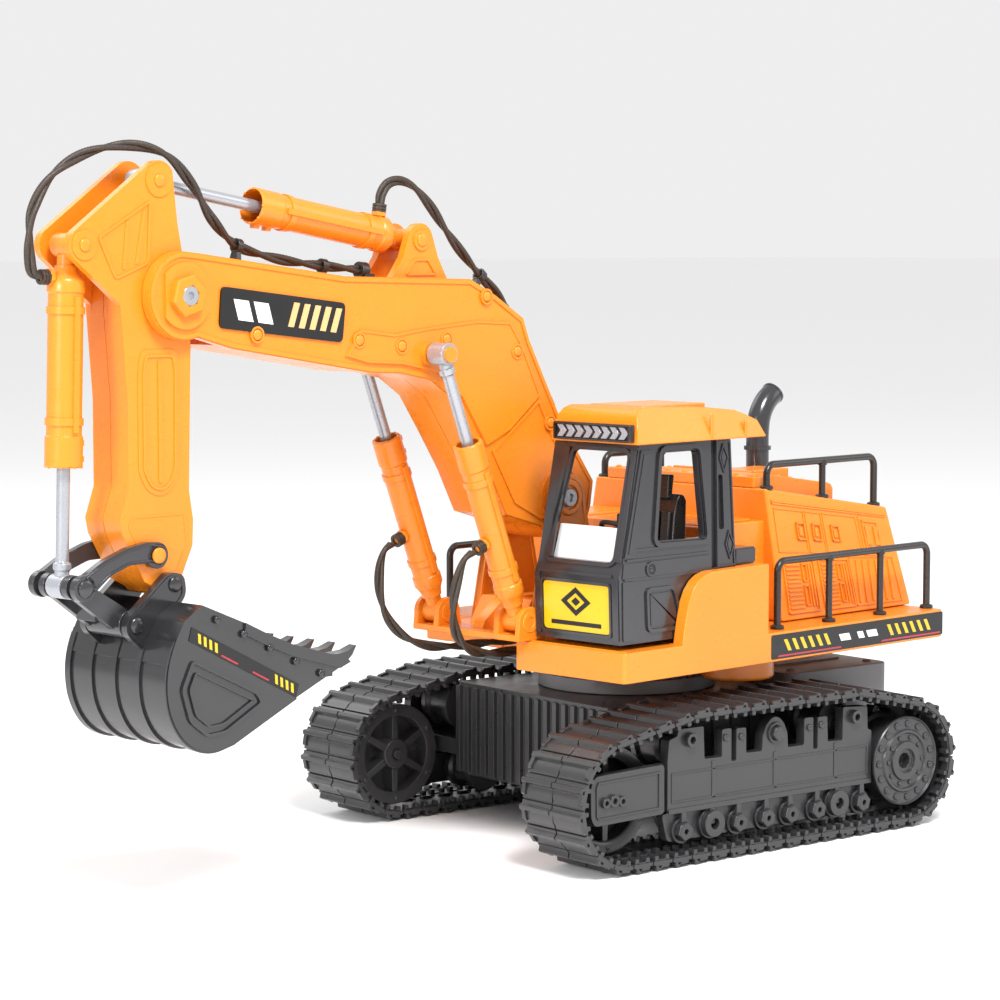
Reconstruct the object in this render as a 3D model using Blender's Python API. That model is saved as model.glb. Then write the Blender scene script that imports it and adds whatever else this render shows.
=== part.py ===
"""Toy tracked excavator, drawn in millimetres and built in metres.

The undercarriage frame stands on the ground with its origin under the slew axis, +X forward, +Y to the
machine's left and +Z up. The house frame is that frame turned by SLEW_REST about the slew axis, and every
piece above the turntable is drawn in it. Each joint has an empty on its axis, and a moving piece hangs from it.
"""
import math

import bmesh
import bpy
from mathutils import Matrix, Vector

MM = 0.001
SLEW_REST = math.radians(6.0)
ORIGIN_SHIFT = (-93.52, 0.0)     # puts the centre of the whole model's box over the origin

# Undercarriage
WHEEL_Z = 28.5
SPROCKET_X = -81.5
IDLER_X = 80.5
BELT_INNER_R = 22.8
BELT_BAND = 3.4
GROUSER = 2.3
BELT_SHOES = 46
BELT_Y = (57.7, 95.2)
CARRIER_X = (42.0, -50.0)
CARRIER_Z = 46.9
CARRIER_BELT_R = 11.5
ROAD_X = (30.4, -43.0)
ROAD_Z = 15.8
WHEEL_Y = (62.0, 80.0)
AXLE_R = 2.0
HOLE_R = 2.35
HOSE_R = 2.1
EXHAUST_R = 6.3
CHASSIS_X = (-49.7, 56.0)
CHASSIS_Y = 51.0
CHASSIS_Z = (20.0, 60.0)
HOUSING_X = (-113.0, -50.0)
HOUSING_Z = (20.0, 65.0)
WALL = 2.4

# House
DECK_Z = (76.5, 89.0)
DECK_SIDE = 80.3
DECK_REAR = -123.4
DECK_FRONT_LEFT = 88.4
DECK_FRONT_RIGHT = 46.0
NOTCH_Y = (-32.0, 18.0)
SEAT_Z = 89.3                   # underside of what stands on the deck
CAB_X = (13.2, 84.5)
CAB_Y = (27.0, 74.0)
CAB_TOP = 172.0
HOOD_TOP_Z = (147.0, 134.0)
ARM_Y = -5.0                    # centre plane of boom, stick and bucket

# Arm pivots, as (x, z) in the house frame
BOOM_PIVOT = (52.0, 146.0)
BOOM_FOOT = (88.0, 97.0)
BOOM_ROD_PIN = (131.4, 209.0)
STICK_PIVOT = (257.0, 234.0)
STICK_REAR_PIN = (129.0, 254.8)
STICK_ROD_PIN = (265.0, 277.0)
BUCKET_REAR_PIN = (300.0, 253.0)
BUCKET_PIVOT = (262.0, 125.5)
ROCKER_PIVOT = (270.0, 137.0)
LINK_PIN = (304.0, 127.0)
LINK_BUCKET_PIN = (280.5, 111.5)
BOOM_HALF = 15.3
STICK_HALF = 10.7
BUCKET_HALF = 31.0
RAM_OFFSET = 24.3               # boom cylinders' distance from the centre plane
ROD_R = 2.5


def material(name, colour, roughness, metallic=0.0):
    made = bpy.data.materials.new(name)
    made.use_nodes = True
    shader = made.node_tree.nodes["Principled BSDF"]
    shader.inputs["Base Color"].default_value = (*colour, 1.0)
    shader.inputs["Roughness"].default_value = roughness
    shader.inputs["Metallic"].default_value = metallic
    made.diffuse_color = (*colour, 1.0)
    return made


for old in list(bpy.data.objects):
    bpy.data.objects.remove(old, do_unlink=True)

ORANGE = material("orange_plastic", (0.86, 0.33, 0.04), 0.35)
GREY = material("track_grey_plastic", (0.10, 0.10, 0.11), 0.5)
PALE = material("pale_grey_plastic", (0.30, 0.30, 0.32), 0.5)
GUNMETAL = material("cab_grey_plastic", (0.13, 0.13, 0.14), 0.3)
SILVER = material("silver_plastic", (0.60, 0.60, 0.63), 0.3, 0.3)
BLACK = material("black_plastic", (0.02, 0.02, 0.02), 0.45)
BOARD = material("board_green", (0.03, 0.20, 0.08), 0.5)


# ---------------------------------------------------------------- shapes, all in millimetres

def block(low, high):
    """A box between two corners."""
    bm = bmesh.new()
    bmesh.ops.create_cube(bm, size=1.0)
    for vert in bm.verts:
        vert.co = [low[i] + (high[i] - low[i]) * (vert.co[i] + 0.5) for i in range(3)]
    return bm


def hull(points):
    """The convex solid around a few points."""
    bm = bmesh.new()
    for point in points:
        bm.verts.new(point)
    bmesh.ops.convex_hull(bm, input=bm.verts)
    return bm


def plate(outline, low, high, axis="Y"):
    """A closed outline pushed along an axis; its two numbers are the other two axes in order."""
    order = {"X": (2, 0, 1), "Y": (0, 2, 1), "Z": (0, 1, 2)}[axis]
    bm = bmesh.new()
    ends = []
    for level in (low, high):
        ring = []
        for a, b in outline:
            triple = (a, b, level)
            ring.append(bm.verts.new([triple[order[i]] for i in range(3)]))
        ends.append(ring)
    for ring in ends:
        bm.faces.new(ring)
    count = len(outline)
    for i in range(count):
        j = (i + 1) % count
        bm.faces.new((ends[0][i], ends[0][j], ends[1][j], ends[1][i]))
    bmesh.ops.recalc_face_normals(bm, faces=bm.faces)
    return bm


def turned(profile, start, toward, steps=24):
    """A closed (radius, distance) profile turned about the line from start toward another point."""
    bm = bmesh.new()
    along = (Vector(toward) - Vector(start)).normalized()
    side = along.orthogonal().normalized()
    other = along.cross(side)
    phase = 0.13 * max(radius for radius, _ in profile)   # no two round shapes share a facet's plane
    rings = []
    for radius, distance in profile:
        centre = Vector(start) + along * distance
        if radius < 1e-6:
            rings.append([bm.verts.new(centre)])
            continue
        ring = []
        for k in range(steps):
            turn = phase + 2 * math.pi * k / steps
            ring.append(bm.verts.new(centre + radius * (side * math.cos(turn) + other * math.sin(turn))))
        rings.append(ring)
    for i, ring in enumerate(rings):
        following = rings[(i + 1) % len(rings)]
        if len(ring) == 1 and len(following) == 1:
            continue
        for k in range(steps):
            m = (k + 1) % steps
            corners = [ring[k % len(ring)], ring[m % len(ring)],
                       following[m % len(following)], following[k % len(following)]]
            bm.faces.new(list(dict.fromkeys(corners)))
    bmesh.ops.recalc_face_normals(bm, faces=bm.faces)
    return bm


def disc(centre, radius, low, high, steps=24):
    """A round plug about a line along Y through an (x, z) centre."""
    x, z = centre
    return turned([(0, low), (radius, low), (radius, high), (0, high)], (x, 0, z), (x, 1, z), steps)


def ring(centre, inner, outer, low, high, steps=24):
    """A washer about a line along Y through an (x, z) centre."""
    x, z = centre
    profile = [(inner, low), (outer, low), (outer, high), (inner, high)]
    return turned(profile, (x, 0, z), (x, 1, z), steps)


def bar(start, end, radius, steps=8):
    length = (Vector(end) - Vector(start)).length
    return turned([(0, 0), (radius, 0), (radius, length), (0, length)], start, end, steps)


def arc(centre, radius, first, last, steps):
    """Points on a circle between two angles in degrees."""
    points = []
    for i in range(steps + 1):
        turn = math.radians(first + (last - first) * i / steps)
        points.append((centre[0] + radius * math.cos(turn), centre[1] + radius * math.sin(turn)))
    return points


def inset(outline, width):
    """The outline moved inward by a width, whichever way round it runs."""
    count = len(outline)
    area = sum(outline[i][0] * outline[(i + 1) % count][1] - outline[(i + 1) % count][0] * outline[i][1]
               for i in range(count))
    sign = 1.0 if area > 0 else -1.0
    moved = []
    for i in range(count):
        before = Vector(outline[i - 1])
        here = Vector(outline[i])
        after = Vector(outline[(i + 1) % count])
        u = (here - before).normalized()
        v = (after - here).normalized()
        normal_u = Vector((-u.y, u.x)) * sign
        normal_v = Vector((-v.y, v.x)) * sign
        mitre = (normal_u + normal_v).normalized()
        moved.append(tuple(here + mitre * width / max(0.5, mitre.dot(normal_u))))
    return moved


def rounded(outline, radius, steps=3):
    """The outline with each corner turned into a short arc."""
    points = []
    count = len(outline)
    for i in range(count):
        here = Vector(outline[i])
        back = (Vector(outline[i - 1]) - here).normalized()
        ahead = (Vector(outline[(i + 1) % count]) - here).normalized()
        start = here + back * radius
        end = here + ahead * radius
        for k in range(steps + 1):
            t = k / steps
            points.append(tuple(start * (1 - t) ** 2 + here * 2 * t * (1 - t) + end * t ** 2))
    return points


def mirrored(outline_y):
    """A (low, high) span of Y about the arm's centre plane, mirrored to the other side."""
    return 2 * ARM_Y - outline_y[1], 2 * ARM_Y - outline_y[0]


# ---------------------------------------------------------------- objects

PLACES = {}


def pivot(name, parent, at):
    """An empty on a joint's axis."""
    empty = bpy.data.objects.new(name, None)
    bpy.context.collection.objects.link(empty)
    empty.empty_display_size = 0.01
    PLACES[name] = Vector(at) * MM
    if parent:
        empty.parent = parent
        empty.location = PLACES[name] - PLACES[parent.name]
    else:
        empty.location = PLACES[name]
    return empty


def place(name, bm, parent):
    """The mesh as an object under a pivot, with its shape kept where it was drawn."""
    bmesh.ops.transform(bm, matrix=Matrix.Scale(MM, 4), verts=bm.verts)
    bmesh.ops.translate(bm, vec=-PLACES[parent.name], verts=bm.verts)
    mesh = bpy.data.meshes.new(name)
    bm.to_mesh(mesh)
    bm.free()
    obj = bpy.data.objects.new(name, mesh)
    bpy.context.collection.objects.link(obj)
    obj.parent = parent
    return obj


def boolean(obj, bm, parent, operation):
    tool = place(f"{obj.name}.{operation.lower()}.{len(obj.modifiers)}", bm, parent)
    tool.hide_render = True
    tool.display_type = "WIRE"
    modifier = obj.modifiers.new(operation, "BOOLEAN")
    modifier.operation = operation
    modifier.object = tool
    modifier.solver = "EXACT"


def piece(name, bm, finish, parent, add=(), cut=(), late=(), smooth=False):
    """A named sub-part: a first shape, shapes joined to it, shapes cut out of it, and shapes joined last."""
    obj = place(name, bm, parent)
    obj.data.materials.append(finish)
    for shape in add:
        boolean(obj, shape, parent, "UNION")
    for shape in cut:
        boolean(obj, shape, parent, "DIFFERENCE")
    for shape in late:
        boolean(obj, shape, parent, "UNION")
    if smooth:
        obj.data.shade_smooth()
        obj.data.set_sharp_from_angle(angle=math.radians(35))
    return obj


def smooth_route(points, steps):
    """A Catmull-Rom curve through the route's points."""
    ends = [Vector(p) for p in points]
    ends = [ends[0] * 2 - ends[1]] + ends + [ends[-1] * 2 - ends[-2]]
    route = []
    for i in range(1, len(ends) - 2):
        p0, p1, p2, p3 = ends[i - 1:i + 3]
        for k in range(steps):
            t = k / steps
            route.append(0.5 * ((2 * p1) + (p2 - p0) * t + (2 * p0 - 5 * p1 + 4 * p2 - p3) * t * t
                                + (3 * p1 - p0 - 3 * p2 + p3) * t ** 3))
    route.append(ends[-2])
    return route


def hose(name, points, radius, parent, steps=2):
    curve = bpy.data.curves.new(name, "CURVE")
    curve.dimensions = "3D"
    curve.bevel_depth = radius * MM
    curve.bevel_resolution = 2
    curve.use_fill_caps = True
    route = smooth_route(points, steps)
    spline = curve.splines.new("POLY")
    spline.points.add(len(route) - 1)
    for vertex, point in zip(spline.points, route):
        vertex.co = (*(point * MM - PLACES[parent.name]), 1.0)
    obj = bpy.data.objects.new(name, curve)
    bpy.context.collection.objects.link(obj)
    curve.materials.append(BLACK)
    obj.parent = parent
    return obj


# ---------------------------------------------------------------- track path

def loop_parts(offset):
    """Straights and arcs of a belt round the wheels, at a distance outside the belt's inner face."""
    wheels = [(IDLER_X, WHEEL_Z, BELT_INNER_R), (CARRIER_X[0], CARRIER_Z, CARRIER_BELT_R),
              (CARRIER_X[1], CARRIER_Z, CARRIER_BELT_R), (SPROCKET_X, WHEEL_Z, BELT_INNER_R)]
    angles = []
    for i, (x1, z1, r1) in enumerate(wheels):
        x2, z2, r2 = wheels[(i + 1) % 4]
        length = math.hypot(x2 - x1, z2 - z1)
        heading = math.atan2(z2 - z1, x2 - x1)
        angles.append(heading - math.acos((r1 - r2) / length))
    parts = []
    for i, (x, z, r) in enumerate(wheels):
        first = angles[i - 1]
        last = angles[i]
        while last < first - 1e-9:
            last += 2 * math.pi
        parts.append(("arc", (x, z), r + offset, first, last))
        x2, z2, r2 = wheels[(i + 1) % 4]
        normal = Vector((math.cos(last), math.sin(last)))
        parts.append(("line", Vector((x, z)) + normal * (r + offset),
                      Vector((x2, z2)) + normal * (r2 + offset), normal))
    return parts


def loop_samples(fractions):
    """Point and outward normal at fractions of the belt's pitch line."""
    parts = loop_parts(BELT_BAND)
    lengths = []
    for part in parts:
        if part[0] == "arc":
            lengths.append(part[2] * (part[4] - part[3]))
        else:
            lengths.append((part[2] - part[1]).length)
    total = sum(lengths)
    found = []
    for fraction in fractions:
        left = (fraction % 1.0) * total
        for part, length in zip(parts, lengths):
            if left <= length or part is parts[-1]:
                break
            left -= length
        if part[0] == "arc":
            turn = part[3] + left / part[2]
            normal = Vector((math.cos(turn), math.sin(turn)))
            found.append((Vector(part[1]) + normal * part[2], normal))
        else:
            found.append((part[1].lerp(part[2], left / length), part[3]))
    return found


def belt(low, high):
    """A closed band with one grouser across each shoe."""
    pattern = ((0.10, 0.0), (0.30, GROUSER), (0.55, GROUSER))
    fractions = [(i + step) / BELT_SHOES for i in range(BELT_SHOES) for step, _ in pattern]
    heights = [height for _ in range(BELT_SHOES) for _, height in pattern]
    bm = bmesh.new()
    rings = []
    for (point, normal), height in zip(loop_samples(fractions), heights):
        outer = point + normal * height
        inner = point - normal * BELT_BAND
        rings.append([bm.verts.new((outer.x, low, outer.y)), bm.verts.new((outer.x, high, outer.y)),
                      bm.verts.new((inner.x, high, inner.y)), bm.verts.new((inner.x, low, inner.y))])
    for i, here in enumerate(rings):
        after = rings[(i + 1) % len(rings)]
        for k in range(4):
            m = (k + 1) % 4
            bm.faces.new((here[k], here[m], after[m], after[k]))
    bmesh.ops.recalc_face_normals(bm, faces=bm.faces)
    return bm


# ---------------------------------------------------------------- undercarriage

base = pivot("undercarriage", None, (0, 0, 0))
base.location = (ORIGIN_SHIFT[0] * MM, ORIGIN_SHIFT[1] * MM, 0)


def chassis():
    low_x, high_x = CHASSIS_X
    ribs = 17
    pitch = 2 * CHASSIS_Y / ribs
    outline = [(low_x, CHASSIS_Y), (low_x, -CHASSIS_Y)]
    for i in range(ribs):
        y = -CHASSIS_Y + i * pitch
        outline += [(high_x, y), (high_x, y + 0.55 * pitch), (high_x - 1.6, y + 0.65 * pitch),
                    (high_x - 1.6, y + 0.9 * pitch)]
    outline[-2:] = [(high_x, CHASSIS_Y)]
    hollow = block((low_x + WALL, -CHASSIS_Y + WALL, CHASSIS_Z[0] - 1),
                   (high_x - WALL - 1.6, CHASSIS_Y - WALL, CHASSIS_Z[1] - WALL))
    well = bar((0, 0, 50), (0, 0, 70), 24.0, 24)
    piece("chassis", plate(outline, *CHASSIS_Z, axis="Z"), GREY, base, cut=[hollow, well])
    cover = block((low_x + WALL + 0.4, -CHASSIS_Y + WALL + 0.4, 18.0),
                  (high_x - WALL - 2.0, CHASSIS_Y - WALL - 0.4, 21.0))
    piece("battery_cover", cover, GREY, base)
    piece("battery_pack", block((-28, -31, 21.4), (28, 31, 37.0)), BLACK, base)


def drive_housing():
    low_x, high_x = HOUSING_X
    low_z, high_z = HOUSING_Z
    corners = [(low_x, -CHASSIS_Y), (high_x, -CHASSIS_Y), (high_x, CHASSIS_Y), (low_x, CHASSIS_Y)]
    outline = rounded(corners, 5.0)
    hollow = block((low_x + WALL, -CHASSIS_Y + WALL, low_z - 1), (high_x - WALL, CHASSIS_Y - WALL,
                                                                 high_z - WALL))
    shafts = bar((SPROCKET_X, -60, WHEEL_Z), (SPROCKET_X, 60, WHEEL_Z), 3.8, 16)
    piece("drive_housing", plate(outline, low_z, high_z, axis="Z"), PALE, base, cut=[hollow, shafts])
    cover = block((low_x + WALL + 0.4, -CHASSIS_Y + WALL + 0.4, low_z - 2),
                  (high_x - WALL - 0.4, CHASSIS_Y - WALL - 0.4, low_z - 0.2 + 1))
    piece("drive_cover", cover, GREY, base)
    for side, sign in (("left", 1), ("right", -1)):
        near, far = sorted((sign * 14.0, sign * 46.8))
        gears = block((SPROCKET_X - 12, near, 21.4), (SPROCKET_X + 12, far, 50.0))
        motor = bar((SPROCKET_X + 11, sign * 30, 38.0), (SPROCKET_X + 27, sign * 30, 38.0), 10.0, 16)
        piece(f"{side}_drive_gearbox", gears, PALE, base, add=[motor])


def slew_ring():
    profile = [(30.0, 60.3), (39.5, 60.3), (39.5, 66.0), (36.5, 66.0), (36.5, 76.1), (30.0, 76.1)]
    piece("slew_ring", turned(profile, (0, 0, 0), (0, 0, 1), 24), PALE, base, smooth=True)


def frame_outline():
    """Side view of a track frame's outer plate, with its upright tabs and the lower boss rail."""
    return [(96.5, 21.0), (98.5, 28.0), (97.5, 41.0), (59.0, 43.0), (56.0, 43.0), (55.6, 52.0),
            (50.6, 52.6), (50.0, 55.4), (36.0, 55.4), (35.4, 41.9), (25.6, 41.4), (25.6, 53.0),
            (20.2, 53.0), (20.2, 40.0), (17.4, 40.0), (17.4, 52.6), (11.8, 52.4), (11.7, 41.9),
            (2.4, 41.4), (1.6, 47.0), (-1.0, 53.4), (-5.0, 55.4), (-9.0, 53.4), (-11.6, 47.0),
            (-12.3, 41.6), (-22.1, 41.4), (-22.1, 52.9), (-27.6, 52.8), (-27.6, 40.0), (-30.2, 40.0),
            (-30.2, 52.6), (-35.9, 52.4), (-36.3, 41.6), (-45.2, 41.0), (-45.4, 55.4), (-60.2, 54.6),
            (-60.6, 44.0), (-63.0, 43.0), (-63.0, 20.0), (-60.0, 8.5), (54.0, 8.5), (57.0, 21.0)]


def track(side, sign):
    def span(low, high):
        return tuple(sorted((sign * low, sign * high)))

    beam = block((-57.0, span(51.3, 85.0)[0], 27.0), (55.0, span(51.3, 85.0)[1], 34.0))
    carriers = [(x, CARRIER_Z) for x in CARRIER_X]
    roads = [(x, ROAD_Z) for x in ROAD_X]
    idler = (IDLER_X, WHEEL_Z)
    axles = [disc(centre, AXLE_R, *span(60.5, 85.0), steps=8) for centre in carriers + roads + [idler]]
    slot = block((55.4, span(86.4, 92.0)[0], 21.0), (58.6, span(86.4, 92.0)[1], 41.5))
    piece(f"{side}_track_frame", plate(frame_outline(), *span(84.0, 89.4)), GREY, base,
          add=[beam, *axles], cut=[slot])
    piece(f"{side}_track_belt", belt(*span(*BELT_Y)), GREY, base)

    hub = pivot(f"{side}_sprocket_axis", base, (SPROCKET_X, 0, WHEEL_Z))
    profile = [(0, 47.2), (3.0, 47.2), (3.0, 58.0), (7.0, 58.0), (7.0, 66.0), (19.4, 66.0),
               (19.4, 76.0), (17.6, 76.0), (17.6, 90.2), (19.6, 90.2), (19.6, 92.4), (0, 92.4)]
    centre = (SPROCKET_X, 0, WHEEL_Z)
    wheel = turned(profile, centre, (SPROCKET_X, sign, WHEEL_Z), 20)
    teeth = []
    for i in range(12):
        for radius, turn in ((18.6, -5.0), (22.3, -2.6), (22.3, 2.6), (18.6, 5.0)):
            angle = math.radians(30.0 * i + turn)
            teeth.append((SPROCKET_X + radius * math.cos(angle), WHEEL_Z + radius * math.sin(angle)))
    piece(f"{side}_sprocket", wheel, GREY, hub, add=[plate(teeth, *span(68.5, 73.5))], smooth=True)

    axle = pivot(f"{side}_idler_axis", base, (IDLER_X, 0, WHEEL_Z))
    profile = [(HOLE_R, 62), (22.2, 62), (22.2, 80), (17.4, 80), (17.4, 76), (6, 76), (6, 80), (HOLE_R, 80)]
    piece(f"{side}_idler", turned(profile, (IDLER_X, 0, WHEEL_Z), (IDLER_X, sign, WHEEL_Z), 20),
          GREY, axle, smooth=True)
    for kind, centres, radius in (("carrier_roller", carriers, 10.9), ("road_roller", roads, 9.4)):
        for end, (x, z) in zip(("front", "rear"), centres):
            label = f"{side}_{end}_{kind}"
            turning = pivot(label + "_axis", base, (x, 0, z))
            piece(label, ring((x, z), HOLE_R, radius, *span(*WHEEL_Y), steps=14), GREY, turning,
                  smooth=True)


# ---------------------------------------------------------------- house

house = pivot("house", base, (0, 0, 0))
house.rotation_euler.z = SLEW_REST


def deck():
    left = DECK_SIDE
    outline = [(DECK_FRONT_LEFT, left), (DECK_REAR + 7, left), (DECK_REAR + 2, left - 2),
               (DECK_REAR, left - 7), (DECK_REAR, 7 - left), (DECK_REAR + 2, 2 - left),
               (DECK_REAR + 7, -left), (DECK_FRONT_RIGHT, -left), (DECK_FRONT_RIGHT, NOTCH_Y[0]),
               (44.0, NOTCH_Y[0]), (44.0, NOTCH_Y[1]), (DECK_FRONT_LEFT, NOTCH_Y[1])]
    low, high = DECK_Z
    pockets = [block((DECK_REAR + 3, -left + 3, low - 1), (-35.0, left - 3, high - 3)),
               block((-32.0, 36.0, low - 1), (DECK_FRONT_LEFT - 3, left - 3, high - 3)),
               block((-32.0, 3 - left, low - 1), (41.0, -36.0, high - 3))]
    spigot = turned([(20.0, 58.5), (23.6, 58.5), (23.6, 62.0), (26.0, 66.0), (29.6, 66.0),
                     (29.6, 78.0), (20.0, 78.0)], (0, 0, 0), (0, 0, 1), 24)
    fender = plate([(-1.5, high - 1), (53.3, high - 1), (51.5, 98.0), (49.1, 107.5), (46.6, 111.6),
                    (43.0, 114.6), (36.1, 117.9), (-1.5, 118.5)], 62.0, left)
    cab_room = block((CAB_X[0] - 0.3, 50.0, high), (95.0, CAB_Y[1] + 0.3, 130.0))
    inside = block((1.0, 50.0, high), (30.0, CAB_Y[1] + 0.3, 116.0))
    piece("deck", plate(outline, low, high, axis="Z"), ORANGE, house, add=[spigot, fender],
          cut=[cab_room, inside, *pockets])
    drum = turned([(0, 66.5), (15.0, 66.5), (16.0, 67.5), (16.0, 76.2), (0, 76.2)], (-14.0, 52.0, 0),
                  (-14.0, 52.0, 1), 24)
    piece("slew_gearbox", drum, ORANGE, house, add=[block((-26, 42, 70), (-6, 62, 84.6))])


def boom_bracket():
    """Floor, two towers for the boom's pivot and a clevis for each boom cylinder."""
    floor = block((14.0, -31.0, SEAT_Z), (92.0, 17.5, 92.0))
    toe = block((79.0, -36.7, SEAT_Z), (95.0, 26.7, 91.8))
    tower = [(28.0, 91.0), (74.0, 91.0)] + arc(BOOM_PIVOT, 10.0, -10, 190, 8)
    prong = [(80.5, 91.0), (95.0, 91.0)] + arc(BOOM_FOOT, 6.5, -10, 190, 6)
    left_tower = (10.9, 14.0)
    towers = [plate(tower, *left_tower), plate(tower, *mirrored(left_tower))]
    clevises = []
    for span in ((11.5, 14.4), (24.2, 26.7)):
        clevises += [plate(prong, *span), plate(prong, *mirrored(span))]
    axle = (11.8, 26.4)
    clevises += [disc(BOOM_FOOT, AXLE_R, *axle, steps=8), disc(BOOM_FOOT, AXLE_R, *mirrored(axle), steps=8)]
    piece("boom_bracket", floor, ORANGE, house, add=[toe, *towers, *clevises],
          cut=[disc(BOOM_PIVOT, 4.35, -30.0, 20.0, steps=16)])
    piece("boom_pivot_pin", disc(BOOM_PIVOT, 4.0, -25.5, 15.5, steps=16), SILVER, house, smooth=True)


def hood():
    def shell(grow, low, drop):
        front, rear = HOOD_TOP_Z[0] - drop, HOOD_TOP_Z[1] - drop
        points = []
        for y in (-1, 1):
            points += [(-33.7 + grow, y * (61.2 + grow), low), (-125.2 - grow, y * (61.2 + grow), low),
                       (-33.7 + grow, y * (50.5 + grow), front), (-116.0 - grow, y * (53.5 + grow), rear)]
        return hull(points)

    step = block((-36.0, -50.0, SEAT_Z), (9.0, 50.0, 133.0))
    room = block((-38.0, -47.6, SEAT_Z - 1), (6.6, 47.6, 130.6))
    piece("hood", shell(0.0, SEAT_Z, 0.0), ORANGE, house, add=[step],
          cut=[shell(-WALL, SEAT_Z - 1, WALL), room, bar((-98, -8, 130), (-98, -8, 160), 7.0, 16)])

    def on_top(x):
        slope = (HOOD_TOP_Z[0] - HOOD_TOP_Z[1]) / 82.3
        return HOOD_TOP_Z[0] + (x + 33.7) * slope

    band = rounded([(-34.0, -44.0), (-42.5, -44.0), (-42.5, 44.0), (-34.0, 44.0)], 2.0, 2)
    lift = on_top(-34.0) + 0.3
    side = [(-41.5, on_top(-41.5) + 0.3), (-104.0, on_top(-104) + 0.3), (-104.0, on_top(-104) + 6.5),
            (-101.0, on_top(-104) + 9.0), (-50.0, on_top(-50) + 7.5), (-47.0, on_top(-47) + 5.0),
            (-47.0, on_top(-47) + 2.0), (-41.5, on_top(-41.5) + 2.0)]
    piece("hood_top_cover", plate(side, -32.0, 32.0), ORANGE, house,
          add=[plate(band, lift, lift + 4.8, axis="Z")],
          cut=[bar((-98, -8, 120), (-98, -8, 160), 7.0, 16)])
    pipe = [(-98, -8, 126), (-98, -8, 140), (-98, -8, 154), (-98, -8, 166), (-99.5, -8, 174),
            (-103.5, -8, 180), (-109, -8, 184)]
    exhaust = hose("exhaust_pipe", pipe, EXHAUST_R, house)
    exhaust.data.bevel_resolution = 3
    piece("circuit_board", block((-95, -30, 91.5), (-50, 30, 93.2)), BOARD, house)


def cab():
    low_x, high_x = CAB_X
    low_y, high_y = CAB_Y
    side = [(low_x, SEAT_Z + 2), (high_x, SEAT_Z + 2), (high_x + 1.0, 119.0), (83.2, 124.0),
            (73.6, CAB_TOP), (17.0, CAB_TOP)]
    inner = inset(side, WALL)
    inner = [(x, z + 8 if z > 160 else z) for x, z in inner]
    room = plate(inner, low_y + WALL, high_y - WALL)
    front = plate([(31.5, 124.0), (69.0, 124.0), (69.6, 168.5), (39.5, 168.5)], 60.0, 95.0, axis="X")
    rear = plate([(34.0, 126.0), (67.0, 126.0), (67.0, 166.0), (34.0, 166.0)], 5.0, 30.0, axis="X")
    window = [(60.3, 170.0), (37.4, 169.4), (32.1, 131.0), (63.6, 131.6)]
    left = plate(window, high_y - 5, high_y + 5)
    right = plate([(69.0, 168.0), (22.0, 168.0), (20.0, 124.0), (76.0, 124.0)], low_y - 5, low_y + 5)
    slot = plate([(21.5, 160.0), (24.8, 160.0), (23.8, 134.0), (20.5, 134.0)], high_y - 5, high_y + 5)
    locker = block((0.5, 52.0, 118.9), (low_x + 2.6, 73.5, 125.8))
    piece("cab", plate(side, low_y, high_y), GUNMETAL, house, add=[locker],
          cut=[room, front, rear, left, right, slot])
    roof = [(78.3, 172.4), (77.6, 184.6), (71.3, 187.4), (40.0, 186.2), (15.4, 184.2), (3.5, 179.8),
            (-2.2, 172.4)]
    panel = [(74.0, 171.0), (74.0, 182.0), (17.0, 180.0), (6.0, 171.0)]
    piece("cab_roof", plate(roof, 29.0, 77.8), ORANGE, house, cut=[plate(panel, 31.5, 75.0)])
    piece("light_bar", block((78.6, 33.5, 173.4), (81.6, 75.8, 180.6)), BLACK, house)
    cushion = plate([(28.0, 94.1), (58.0, 94.1), (58.0, 112.0), (56.0, 115.0), (40.0, 113.0),
                     (36.5, 145.0), (34.0, 150.0), (30.0, 150.0), (28.0, 146.0)], 41.0, 61.0)
    console = block((56.0, 34.0, 94.1), (80.0, 62.0, 116.0))
    lever = bar((66.0, 52.0, 115.0), (66.0, 52.0, 134.0), 1.8, 8)
    piece("cab_interior", cushion, BLACK, house, add=[console, lever])


def tube(points, radius, steps=8):
    """A round rod swept along points, mitred at each one."""
    points = [Vector(p) for p in points]
    bm = bmesh.new()
    rings = []
    side = None
    for i, point in enumerate(points):
        before = (point - points[i - 1]).normalized() if i else (points[1] - point).normalized()
        after = (points[i + 1] - point).normalized() if i < len(points) - 1 else before
        along = (before + after).normalized()
        if side is None:
            side = Vector((0, 1, 0))
        up = along.cross(side).normalized() / max(0.5, before.dot(along))
        rings.append([bm.verts.new(point + radius * (side * math.cos(2 * math.pi * (k + 0.5) / steps)
                                                     + up * math.sin(2 * math.pi * (k + 0.5) / steps)))
                      for k in range(steps)])
    for here, after in zip(rings, rings[1:]):
        for k in range(steps):
            m = (k + 1) % steps
            bm.faces.new((here[k], here[m], after[m], after[k]))
    bm.faces.new(rings[0])
    bm.faces.new(rings[-1])
    bmesh.ops.recalc_face_normals(bm, faces=bm.faces)
    return bm


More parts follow.
